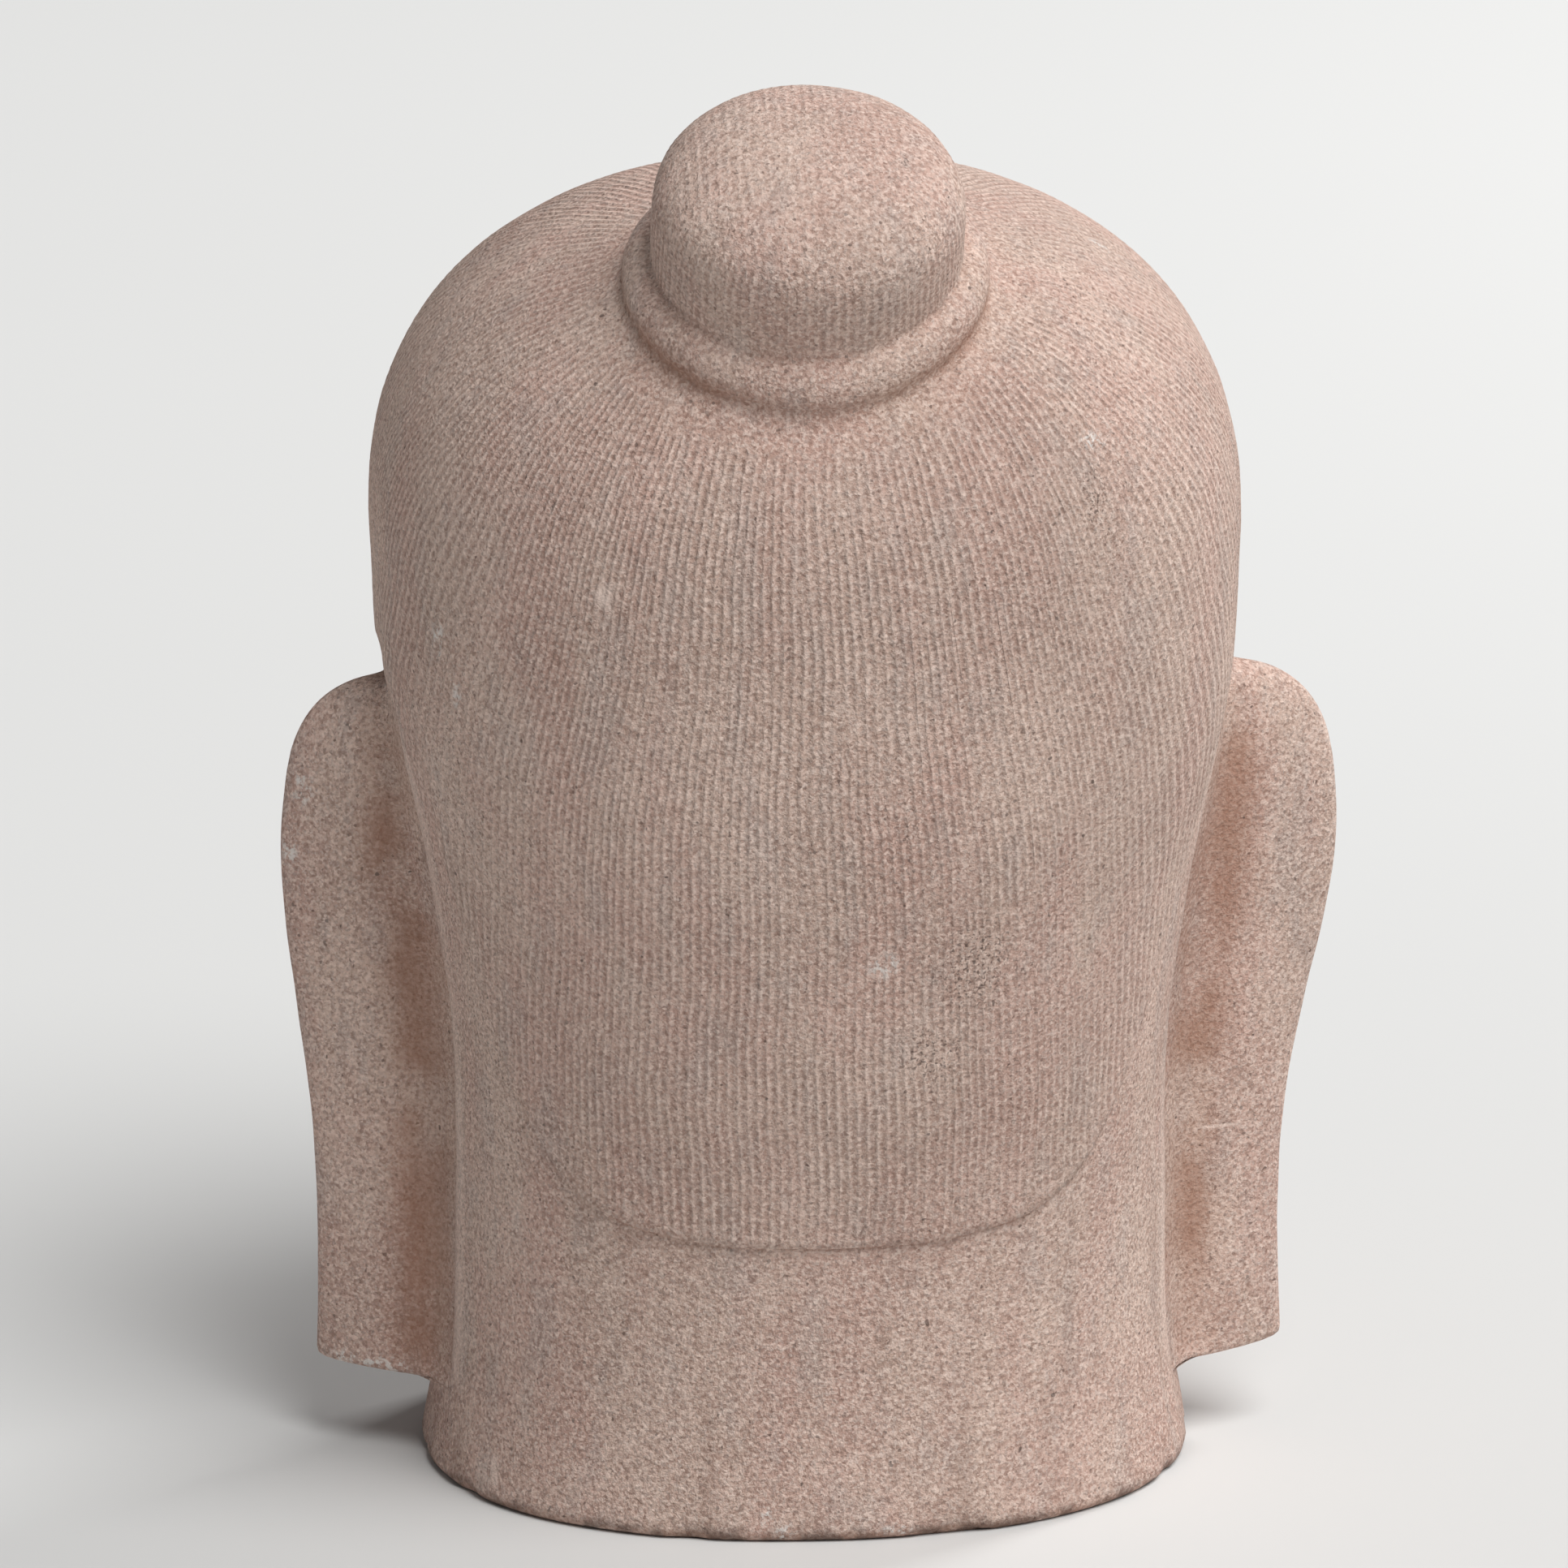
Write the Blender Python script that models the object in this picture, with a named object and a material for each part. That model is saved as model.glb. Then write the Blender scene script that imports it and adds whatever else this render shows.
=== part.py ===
"""Stone head with a topknot, carved from one block of pink sandstone.

The face looks along -Y, the cut neck stands on the plane z = 0 and the origin is the middle of that cut.
The whole carving is one closed skin. It starts as a sphere whose top pole is moved to the top of the
topknot and whose bottom pole is the middle of the cut. Its columns run down the topknot, over the roll,
across the hair and down the head, and its rows are the closed sections between them. The two ears are
part of the same sections, as folds that stand out from the sides.
"""

import math

import bmesh
import bpy
import numpy as np

# Levels over the cut, from the height of the head without its topknot, in metres
HEAD_HEIGHT = 0.320
WIDEST_LEVEL = 0.7375 * HEAD_HEIGHT  # where the hair is widest
DOME_RISE = HEAD_HEIGHT - WIDEST_LEVEL
FRONT_HAIRLINE_LEVEL = 0.828 * HEAD_HEIGHT
EAR_HAIRLINE_LEVEL = 0.644 * HEAD_HEIGHT
NAPE_HAIRLINE_LEVEL = 0.233 * HEAD_HEIGHT
CHIN_LEVEL = 0.2375 * HEAD_HEIGHT
FACE_THIRD = 0.197 * HEAD_HEIGHT  # chin to nose, nose to brow, and brow to the middle of the forehead
EAR_TOP_LEVEL = 0.6163 * HEAD_HEIGHT
EAR_BOTTOM_LEVEL = 0.0656 * HEAD_HEIGHT

# Block and hair
HAIR_HALF_WIDTH = 0.1038
HAIR_BACK_DEPTH = 0.1045
HAIR_FRONT_DEPTH = 0.1040
DOME_FULLNESS = 2.3  # power of the dome's profile, 2 for a plain ellipse
HAIR_STEP_BACK = 0.0009  # how far the hair stands over the skin at the nape
HAIR_STEP_FRONT = 0.0022  # and over the forehead

# Neck
NECK_HALF_WIDTH = 0.0950
NECK_BACK_DEPTH = 0.0800
NECK_FRONT_DEPTH = 0.0760
NECK_EDGE_ROUND = 0.0030
NECK_RING_DEPTH = 0.0011  # of the three rings cut round its front

# Topknot and the roll round its foot
KNOT_LEAN = math.radians(27.5)  # its axis leans back from the vertical
KNOT_SETBACK = 0.0593  # where the axis leaves the hair, behind the middle of the head
KNOT_SHIFT = 0.0040  # and to its left
KNOT_RADIUS = 0.0366
KNOT_HEIGHT = 0.0388
KNOT_CROWN = 0.0196  # height of its rounded top
KNOT_FULLNESS = 2.24  # power of the rounded top's profile
ROLL_RADIUS = 0.0432
ROLL_HEIGHT = 0.0094
ROLL_FILLET = 0.0040

# Face
FACE_HALF_WIDTH = 0.0900
FACE_DEPTH = 0.1010
FACE_BLEND = 0.0140  # width of the soft seam where the face's oval leaves the block
EYE_WIDTH = 0.0340
NOSE_REACH = 0.0220
LIP_FULLNESS = 0.0045
JAW_UNDERCUT = 0.0045  # depth that the neck is cut back under the jaw

# Ears
EAR_SPAN = 0.1292  # from the middle plane to the rim, at its widest
EAR_LOBE_SPAN = 0.1186
EAR_ROOT_THICKNESS = 0.0330
EAR_RIM_THICKNESS = 0.0125
EAR_FILLET = 0.0058
EAR_SETBACK = 0.0020  # middle of the root behind the middle of the head
EAR_SLANT = 0.0070  # how far the rim is forward of the root

# Fineness of the skin, before and after it is thinned
HAIR_EDGE_SHARE = 0.004  # share of the skin that the edge of the hair slopes over
COLUMNS = 264
ROWS = 190
TRIANGLES = 9800

NOSE_BASE_LEVEL = CHIN_LEVEL + FACE_THIRD
BROW_LEVEL = NOSE_BASE_LEVEL + FACE_THIRD
EYE_LEVEL = BROW_LEVEL - FACE_THIRD / 4

# Profiles of the neck and head below the widest level: (share of that level, share of the named size)
WIDTH_PROFILE = [
    (0.00, 1.000, NECK_HALF_WIDTH),
    (0.12, 0.950, NECK_HALF_WIDTH),
    (0.28, 0.935, NECK_HALF_WIDTH),
    (0.46, 0.930, NECK_HALF_WIDTH),
    (0.64, 0.890, HAIR_HALF_WIDTH),
    (0.82, 0.978, HAIR_HALF_WIDTH),
    (1.00, 1.000, HAIR_HALF_WIDTH),
]
BACK_PROFILE = [
    (0.00, 1.000, NECK_BACK_DEPTH),
    (0.15, 0.975, NECK_BACK_DEPTH),
    (0.30, 0.985, NECK_BACK_DEPTH),
    (0.50, 0.855, HAIR_BACK_DEPTH),
    (0.75, 0.965, HAIR_BACK_DEPTH),
    (1.00, 1.000, HAIR_BACK_DEPTH),
]
FRONT_PROFILE = [
    (0.00, 1.000, NECK_FRONT_DEPTH),
    (0.15, 0.930, NECK_FRONT_DEPTH),
    (0.32, 0.870, NECK_FRONT_DEPTH),
    (0.60, 0.760, HAIR_FRONT_DEPTH),
    (0.86, 0.960, HAIR_FRONT_DEPTH),
    (1.00, 1.000, HAIR_FRONT_DEPTH),
]
# Rim of the ear from its foot to its top: (share of the ear's height, share of the named span)
EAR_PROFILE = [
    (0.00, 1.006, EAR_LOBE_SPAN),
    (0.20, 1.000, EAR_LOBE_SPAN),
    (0.36, 1.010, EAR_LOBE_SPAN),
    (0.50, 0.955, EAR_SPAN),
    (0.64, 0.988, EAR_SPAN),
    (0.75, 1.000, EAR_SPAN),
    (0.86, 0.987, EAR_SPAN),
    (1.00, 0.935, EAR_SPAN),
]
# How much further out the right ear's rim stands than the table says, and the left ear's less
EAR_DRIFT = [
    (0.00, -0.0070, EAR_SPAN),
    (0.40, -0.0062, EAR_SPAN),
    (0.56, 0.0031, EAR_SPAN),
    (0.70, 0.0116, EAR_SPAN),
    (1.00, 0.0132, EAR_SPAN),
]
EAR_TOP_CORNER = 0.145  # share of the ear's height that its rounded top takes
EAR_FOOT_CORNER = 0.020  # and its foot, which is cut nearly square
EAR_FULLNESS = 3.2

# Share of the columns that the face and each ear take, and the azimuths of an ear's root lines
FACE_COLUMNS = 0.36
EAR_COLUMNS = 0.11
EAR_ROOT_FRONT = math.radians(77)
EAR_ROOT_BACK = math.radians(103)


def ease(low, high, x):
    """0 below low, 1 above high, and a smooth S between them."""
    t = np.clip((x - low) / (high - low), 0.0, 1.0)
    return t * t * (3.0 - 2.0 * t)


def bell(x, width):
    """1 at zero, fading to nothing at about twice the width on either side."""
    return np.exp(-((x / width) ** 2))


def through(x, stations):
    """Smooth curve through (place, value) stations: a cubic between each two, with the neighbours' slopes.

    A third number in a station is a size that its value is a share of.
    """
    at, value = np.array([(row[0], math.prod(row[1:])) for row in stations]).T
    slope = np.gradient(value, at)
    i = np.clip(np.searchsorted(at, x) - 1, 0, len(at) - 2)
    step = at[i + 1] - at[i]
    t = np.clip((x - at[i]) / step, 0.0, 1.0)
    return (
        value[i] * (1 - t) ** 2 * (1 + 2 * t)
        + value[i + 1] * t**2 * (3 - 2 * t)
        + step * (slope[i] * t * (1 - t) ** 2 - slope[i + 1] * t**2 * (1 - t))
    )


def oval_radius(azimuth, half_width, front, back, power):
    """Radius of a superellipse section whose front and back halves have their own depth."""
    depth = np.where(np.cos(azimuth) > 0, front, back)
    across = np.abs(np.sin(azimuth)) / half_width
    along = np.abs(np.cos(azimuth)) / depth
    return (across**power + along**power) ** (-1.0 / power)


def dome_share(z):
    """Share of the widest section that is left at a level in the dome of the hair."""
    rise = np.clip((z - WIDEST_LEVEL) / DOME_RISE, 0.0, 1.0 - 1e-9)
    return (1.0 - rise**DOME_FULLNESS) ** (1 / DOME_FULLNESS)


def block_radius(azimuth, z):
    """Hair, back of the head and neck, without the face."""
    low = np.minimum(z, WIDEST_LEVEL) / WIDEST_LEVEL
    half_width = through(low, WIDTH_PROFILE)
    back = through(low, BACK_PROFILE)
    front = through(low, FRONT_PROFILE)
    share = dome_share(z)
    return oval_radius(azimuth, half_width * share, front * share, back * share, 2.25)


def face_radius(azimuth, z):
    """The oval of the face: wide at the cheekbones, closing under the chin and inside the hair."""
    cheek_level = EYE_LEVEL
    drop = np.clip((cheek_level - z) / (cheek_level - CHIN_LEVEL), 0.0, 0.9999)
    climb = np.clip((z - cheek_level) / (1.9 * FACE_THIRD), 0.0, 0.9999)
    half_width = FACE_HALF_WIDTH * (1 - drop**2.7) ** (1 / 2.2) * (1 - climb**2.4) ** (1 / 2.4)
    front = FACE_DEPTH * (1 - drop**5.0) ** (1 / 2.6) * (1 - climb**2.6) ** (1 / 2.6)
    floor = 1e-4
    return oval_radius(azimuth, half_width + floor, front + floor, 0.6 * front + floor, 2.35)


def head_radius(azimuth, z):
    """Smooth union of the block and the oval of the face, as a distance from the upright axis."""
    block = block_radius(azimuth, z)
    face = face_radius(azimuth, z)
    near = np.clip(1 - np.abs(block - face) / FACE_BLEND, 0, 1)
    return np.maximum(block, face) + FACE_BLEND * near**2 / 4 * dome_share(z)


def hairline_level(azimuth):
    """Level of the edge of the hair: over the forehead, past the ears and round the nape."""
    ear_drop = FRONT_HAIRLINE_LEVEL - EAR_HAIRLINE_LEVEL
    nape_drop = EAR_HAIRLINE_LEVEL - NAPE_HAIRLINE_LEVEL
    return through(
        np.degrees(np.abs(azimuth)),
        [
            (0, FRONT_HAIRLINE_LEVEL),
            (22, FRONT_HAIRLINE_LEVEL + 0.02 * ear_drop),
            (42, FRONT_HAIRLINE_LEVEL - 0.12 * ear_drop),
            (56, FRONT_HAIRLINE_LEVEL - 0.48 * ear_drop),
            (65, FRONT_HAIRLINE_LEVEL - 0.84 * ear_drop),
            (73, FRONT_HAIRLINE_LEVEL - 0.98 * ear_drop),
            (84, EAR_HAIRLINE_LEVEL),
            (100, EAR_HAIRLINE_LEVEL - 0.01 * nape_drop),
            (107, EAR_HAIRLINE_LEVEL - 0.12 * nape_drop),
            (113, EAR_HAIRLINE_LEVEL - 0.30 * nape_drop),
            (119, EAR_HAIRLINE_LEVEL - 0.52 * nape_drop),
            (127, EAR_HAIRLINE_LEVEL - 0.735 * nape_drop),
            (134, EAR_HAIRLINE_LEVEL - 0.870 * nape_drop),
            (142, EAR_HAIRLINE_LEVEL - 0.945 * nape_drop),
            (155, EAR_HAIRLINE_LEVEL - 0.985 * nape_drop),
            (180, NAPE_HAIRLINE_LEVEL),
        ],
    )


def hair_step(azimuth):
    """How far the hair stands over the skin."""
    frontal = 1 - ease(math.radians(55), math.radians(105), np.abs(azimuth))
    return HAIR_STEP_BACK + (HAIR_STEP_FRONT - HAIR_STEP_BACK) * frontal


def brow_and_eyes(side, level):
    """Arched brow, hollow under it and a lowered lid over the eye, as a share of a third of the face."""
    brow = 1.08 - 0.16 * ((side - 1.06) / 0.88) ** 2
    below = brow - level
    across = ease(0.18, 0.47, side) * (1 - ease(1.53, 2.18, side))
    socket = -0.127 * across * ease(0.0, 0.095, below) * (1 - ease(0.127, 0.57, below))
    u = (side - 1) / 0.58
    almond = np.clip(1 - u**2, 0.0, 1.0)
    middle = 0.718 + 0.025 * u
    v = (level - middle) / (0.198 * almond**0.65 + 1e-4)
    inside = np.clip(1 - v**2, 0.0, 1.0)
    ball = 0.127 * almond**0.5 * inside**0.72
    slit = middle - 0.048 - 0.057 * almond
    lid = 0.016 * ease(-0.0095, 0.0095, level - slit) - 0.022 * bell(level - slit, 0.0175)
    lid = lid * ease(0.02, 0.30, almond * inside)
    crease = -0.014 * bell(level - middle - 0.159 * almond**0.7 - 0.035, 0.0175) * ease(0.05, 0.30, almond)
    return socket + ball + lid + crease


def nose(side, level):
    """Straight ridge from between the brows to a rounded tip, with wings and a cut underside."""
    reach = through(
        level,
        [
            (-0.12, 0.0),
            (-0.06, 0.10),
            (-0.02, 0.60),
            (0.03, 0.95),
            (0.10, 1.00),
            (0.20, 0.88),
            (0.42, 0.60),
            (0.70, 0.32),
            (0.90, 0.20),
            (1.08, 0.0),
        ],
    )
    width = through(level, [(-0.1, 0.28), (0.1, 0.29), (0.3, 0.22), (0.6, 0.19), (0.8, 0.21), (1.05, 0.32)])
    ridge = np.maximum(reach, 0.0) * np.exp(-((side / width) ** 2.4))
    u = (side - 0.40) / 0.23
    v = (level - 0.071) / 0.119
    wing = 0.146 * np.clip(1 - u**2 - v**2, 0.0, 1.0) ** 0.7
    nostril = -0.056 * bell(side - 0.20, 0.0765) * bell(level + 0.0127, 0.0413)
    return ridge * NOSE_REACH / FACE_THIRD + wing * (1 - 0.45 * ridge) + nostril


def mouth(side, level):
    """Full closed lips with a slight lift at the corners, the groove over them and the chin under them."""
    half = 0.81
    over = level + 1 / 3
    span = np.clip(side / half, 0.0, 1.0)
    line = 0.032 * span**2 - 0.0143 * bell(side, 0.147)
    upper = 0.124 * (1 - span**2.2) * (1 - 0.16 * bell(side, 0.103)) + 1e-4
    lower = 0.146 * (1 - np.clip(side / (0.88 * half), 0.0, 1.0) ** 2.4) + 1e-4
    above = np.clip((over - line) / upper, 0.0, 1.0)
    below = np.clip((line - over) / lower, 0.0, 1.0)
    taper = np.sqrt(np.clip(1 - span**2, 0.0, 1.0))
    lips = taper * (np.sin(math.pi * above) ** 0.7 + 1.15 * np.sin(math.pi * below) ** 0.7)
    parting = -0.035 * bell(over - line, 0.0222) * (1 - ease(0.79, 0.91, side))
    muzzle = 0.067 * bell(side, 1.06) * bell(over, 0.365)
    dimple = -0.019 * bell(side - 0.88, 0.147) * bell(over - 0.032, 0.095)
    groove = -0.0206 * bell(side, 0.094) * ease(0.119, 0.159, over) * (1 - ease(-0.095, -0.032, level))
    fold = -0.048 * bell(over + 0.238, 0.079) * bell(side, 0.647)
    chin = 0.092 * bell(side, 0.544) * bell(level + 0.778, 0.1825)
    return lips * LIP_FULLNESS / FACE_THIRD + parting + muzzle + dimple + groove + fold + chin


def face_relief(x, z):
    """Height of the carved face in front of its oval.

    The carving is laid out in eye widths to the side and in thirds of the face up from the base of the nose.
    """
    side = np.abs(x) / EYE_WIDTH
    level = (z - NOSE_BASE_LEVEL) / FACE_THIRD
    cheek = 0.060 * bell(side - 1.41, 0.706) * bell(level - 0.0635, 0.4286)
    return FACE_THIRD * (brow_and_eyes(side, level) + nose(side, level) + mouth(side, level) + cheek)


def neck_lines(azimuth, z):
    """Three shallow rings cut round the front of the neck."""
    front = 1 - ease(math.radians(50), math.radians(74), np.abs(azimuth))
    level = z / CHIN_LEVEL + 0.06 * np.cos(azimuth)
    return -NECK_RING_DEPTH * front * sum(bell(level - ring, 0.032) for ring in (0.80, 0.59, 0.38))


def under_jaw(azimuth, z):
    """How far the neck stands back under the line of the jaw, which climbs from the chin to the lobes."""
    turned = np.abs(azimuth) / EAR_ROOT_FRONT
    line = 0.80 * ease(0.10, 1.0, turned) - 0.04
    below = line - (z - CHIN_LEVEL) / FACE_THIRD
    front = 1 - ease(0.80, 0.98, turned)
    return -JAW_UNDERCUT * front * ease(0.0, 0.11, below) * (1 - ease(0.35, 1.15, below))


def head_point(azimuth, z, step):
    """Point of the head without its ears, with the hair's step added where it is asked for."""
    radius = head_radius(azimuth, z) + step + neck_lines(azimuth, z) + under_jaw(azimuth, z)
    x = radius * np.sin(azimuth)
    y = -radius * np.cos(azimuth)
    frontal = 1 - ease(math.radians(58), math.radians(76), np.abs(azimuth))
    y = y - frontal * (1 - np.clip(step / HAIR_STEP_FRONT, 0, 1)) * face_relief(x, z)
    return np.stack([x, y, z], axis=-1)


def ear_reach(z, side):
    """Distance of the ear's rim from the middle plane, its level in the ear, and its share of full reach."""
    level = (z - EAR_BOTTOM_LEVEL) / (EAR_TOP_LEVEL - EAR_BOTTOM_LEVEL)
    rim = through(level, EAR_PROFILE) - side * through(level, EAR_DRIFT)
    root = 0.95 * NECK_HALF_WIDTH
    near_top = np.clip((level - 1 + EAR_TOP_CORNER) / EAR_TOP_CORNER, 0, 1)
    top_round = (1 - near_top**EAR_FULLNESS) ** (1 / EAR_FULLNESS)
    near_foot = np.clip((EAR_FOOT_CORNER - level) / EAR_FOOT_CORNER, 0, 1)
    foot_round = (1 - near_foot**EAR_FULLNESS) ** (1 / EAR_FULLNESS)
    share = np.where((level > 0) & (level < 1), top_round * foot_round, 0.0)
    return root + (rim - root) * share, level, share


def ear_hollows(out, level):
    """Depth cut into the front of the ear: the shell inside the rim and the long hollow of the lobe.

    out runs from 0 at the head to 1 at the rim, and level from 0 at the foot of the lobe to 1 at the top.
    """
    rim = 1 - ease(0.66, 0.84, out)
    upper = ease(0.50, 0.60, level) * (1 - ease(0.90, 0.965, level))
    shell = 0.145 * rim * upper * ease(0.02, 0.22, out)
    ridge = -0.091 * bell(out - 0.46 - 0.25 * (level - 0.74), 0.10) * upper
    bowl = 0.121 * bell(out - 0.22, 0.17) * bell(level - 0.66, 0.075)
    lobe = 0.109 * bell(out - 0.52, 0.17) * ease(0.07, 0.15, level) * (1 - ease(0.40, 0.50, level))
    return EAR_ROOT_THICKNESS * (shell + ridge + bowl + lobe)


def ear_point(turn, z, side):
    """Point on an ear. turn runs from -1 at the front root, by 0 at the rim, to 1 at the back root."""
    azimuth = side * (EAR_ROOT_FRONT + (EAR_ROOT_BACK - EAR_ROOT_FRONT) * (turn + 1) / 2)
    wall = head_point(azimuth, z, 0.0 * z)
    reach, level, share = ear_reach(z, side)
    root_x = 0.95 * NECK_HALF_WIDTH
    width = reach - root_x
    sweep = turn * math.pi / 2
    power = 2 / 2.7
    out = np.abs(np.cos(sweep)) ** power
    across = np.sign(turn) * np.abs(np.sin(sweep)) ** power
    near_top = np.clip((level - 1 + 1.6 * EAR_TOP_CORNER) / (1.6 * EAR_TOP_CORNER), 0, 1)
    thin_top = 0.25 + 0.75 * np.sqrt(1 - near_top**2)
    thickness = (EAR_ROOT_THICKNESS + (EAR_RIM_THICKNESS - EAR_ROOT_THICKNESS) * out) * thin_top
    flare = EAR_FILLET * np.clip(1 - out * width / EAR_FILLET, 0, 1) ** 2
    along = across * thickness / 2 + np.sign(turn) * flare
    cut = ear_hollows(out, level) * ease(0.0, 0.35, -turn)
    slant = -EAR_SLANT * out * width / (EAR_SPAN - root_x)
    x = side * (root_x + out * width)
    y = EAR_SETBACK + along + slant + cut
    blade = np.stack([x, y, z], axis=-1)
    for end in (-1, 1):
        foot = head_point(side * (EAR_ROOT_FRONT if end < 0 else EAR_ROOT_BACK), z, 0.0 * z)
        flank = EAR_SETBACK + end * (EAR_ROOT_THICKNESS / 2 + EAR_FILLET)
        base = np.stack([side * root_x + 0 * z, flank + 0 * z, z], axis=-1)
        weight = np.clip(end * turn, 0, 1) ** 3
        blade = blade + weight[..., None] * (foot - base)
    present = ease(0.0, 0.6, share)[..., None]
    return wall + present * (blade - wall)


def column_azimuth(share):
    """Azimuth of a column from its share of the turn, and its place in an ear (-1 to 1) or NaN."""
    signed = (share + 0.5) % 1.0 - 0.5
    side = np.where(signed < 0, -1.0, 1.0)
    far = np.abs(signed)
    face, ear = FACE_COLUMNS / 2, EAR_COLUMNS
    azimuth = np.interp(
        far, [0, face, face + ear, 0.5], [0, EAR_ROOT_FRONT, EAR_ROOT_BACK, math.pi]
    )
    turn = np.where((far > face) & (far < face + ear), 2 * (far - face) / ear - 1, np.nan)
    return side * azimuth, turn, side


def dome_height(setback):
    """Height of the dome over a place behind its middle, as a share of its rise."""
    return (1 - (setback / HAIR_BACK_DEPTH) ** DOME_FULLNESS) ** (1 / DOME_FULLNESS)


def knot_frame():
    """Seat of the topknot on the dome, its axis and its forward direction."""
    seat = np.array([KNOT_SHIFT, KNOT_SETBACK, WIDEST_LEVEL + DOME_RISE * dome_height(KNOT_SETBACK)])
    axis = np.array([0.0, math.sin(KNOT_LEAN), math.cos(KNOT_LEAN)])
    forward = np.array([0.0, -math.cos(KNOT_LEAN), math.sin(KNOT_LEAN)])
    return seat, axis, forward


def hair_height(azimuth, radius):
    """Height along the topknot's axis at which the hair lies, found by halving."""
    seat, axis, forward = knot_frame()
    flat = seat + radius[..., None] * (
        np.sin(azimuth)[..., None] * np.array([1.0, 0, 0]) + np.cos(azimuth)[..., None] * forward
    )
    low = np.full(azimuth.shape, -2 * KNOT_RADIUS)
    high = np.full(azimuth.shape, KNOT_RADIUS)
    for _ in range(40):
        middle = (low + high) / 2
        x, y, z = np.moveaxis(flat + middle[..., None] * axis, -1, 0)
        around = np.arctan2(x, -y)
        top = WIDEST_LEVEL + DOME_RISE
        surface = head_radius(around, z) + hair_step(around) * dome_share(z)
        inside = (np.hypot(x, y) < surface) & (z < top)
        low = np.where(inside, middle, low)
        high = np.where(inside, high, middle)
    return low


def knot_point(azimuth, t):
    """Point of the topknot and its roll. t runs from 0 at the top to 1 where the roll meets the hair.

    A full half oval is its crown, a straight wall stands under it, and the roll lies on the hair round its foot.
    """
    seat, axis, forward = knot_frame()
    crown_end, wall_end = 0.45, 0.66
    crown = KNOT_HEIGHT - KNOT_CROWN
    dome = np.clip(t / crown_end, 0, 1) * math.pi / 2
    roll = ROLL_RADIUS - KNOT_RADIUS
    radius_foot = through(
        t,
        [
            (wall_end, KNOT_RADIUS),
            (0.70, KNOT_RADIUS + 0.05 * roll),
            (0.75, KNOT_RADIUS + 0.35 * roll),
            (0.81, KNOT_RADIUS + 0.80 * roll),
            (0.87, ROLL_RADIUS),
            (0.93, ROLL_RADIUS - 0.04 * roll),
            (0.965, ROLL_RADIUS + 0.25 * ROLL_FILLET),
            (1.00, ROLL_RADIUS + ROLL_FILLET),
        ],
    )
    height_foot = ROLL_HEIGHT * through(
        t,
        [
            (wall_end, 1.16),
            (0.70, 1.03),
            (0.75, 1.03),
            (0.81, 0.88),
            (0.87, 0.52),
            (0.93, 0.19),
            (0.965, 0.05),
            (1.00, 0.0),
        ],
    )
    fullness = 2 / KNOT_FULLNESS
    radius = np.where(t < wall_end, KNOT_RADIUS, radius_foot) * np.sin(dome) ** fullness
    foot = hair_height(azimuth, radius_foot) + height_foot
    down = np.clip((t - crown_end) / (wall_end - crown_end), 0, 1)
    height = crown + (foot - crown) * down + KNOT_CROWN * np.abs(np.cos(dome)) ** fullness
    ring = np.sin(azimuth)[..., None] * np.array([1.0, 0, 0]) + np.cos(azimuth)[..., None] * forward
    return seat + radius[..., None] * ring + height[..., None] * axis


def hair_point(knot_azimuth, azimuth, t):
    """Point of the hair. t runs from 0 at the roll to 1 at the hairline, along an arc over the dome."""
    start = knot_point(knot_azimuth, np.ones_like(knot_azimuth))
    rise = np.clip((start[..., 2] - WIDEST_LEVEL) / DOME_RISE, -1, 1)
    around = np.arctan2(start[..., 0], -start[..., 1])
    level = np.sqrt(1 - rise**2)
    first = np.stack([level * np.sin(around), -level * np.cos(around), rise], axis=-1)
    end_rise = np.clip((hairline_level(azimuth) - WIDEST_LEVEL) / DOME_RISE, -4.0, 1)
    end_flat = np.sqrt(1 - np.clip(end_rise, 0, 1) ** 2)
    last = np.stack([end_flat * np.sin(azimuth), -end_flat * np.cos(azimuth), end_rise], axis=-1)
    way = first + (last - first) * t[..., None]
    length = np.linalg.norm(way, axis=-1)
    upward = np.where(way[..., 2] > 0, way[..., 2] / length, way[..., 2])
    z = WIDEST_LEVEL + DOME_RISE * upward
    turned = np.arctan2(way[..., 0], -way[..., 1])
    return head_point(turned, z, hair_step(turned) * dome_share(z))


def corner_depth(share, corner):
    """Depth below an ear's top, or height over its foot, at which its rim has this share of its reach."""
    return corner * (EAR_TOP_LEVEL - EAR_BOTTOM_LEVEL) * (1 - (1 - share**EAR_FULLNESS) ** (1 / EAR_FULLNESS))


def skin_level(azimuth, t):
    """Level of a row of the skin. t runs from 0 at the hairline to 1 at the worn edge of the cut.

    The rows lie closest together where the ears begin and end.
    """
    share = np.linspace(0, 1, 12)
    top = EAR_TOP_LEVEL - corner_depth(share, EAR_TOP_CORNER)
    foot = EAR_BOTTOM_LEVEL + corner_depth(share[::-1], EAR_FOOT_CORNER)
    over = EAR_TOP_LEVEL + 0.06 * (EAR_HAIRLINE_LEVEL - EAR_TOP_LEVEL)
    levels = np.concatenate([[EAR_HAIRLINE_LEVEL, over], top, foot, [NECK_EDGE_ROUND]])
    places = np.concatenate([[0, 0.045], np.linspace(0.05, 0.24, 12), np.linspace(0.84, 0.93, 12), [1]])
    shares = (levels - NECK_EDGE_ROUND) / (EAR_HAIRLINE_LEVEL - NECK_EDGE_ROUND)
    return NECK_EDGE_ROUND + (hairline_level(azimuth) - NECK_EDGE_ROUND) * np.interp(t, places, shares)


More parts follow.
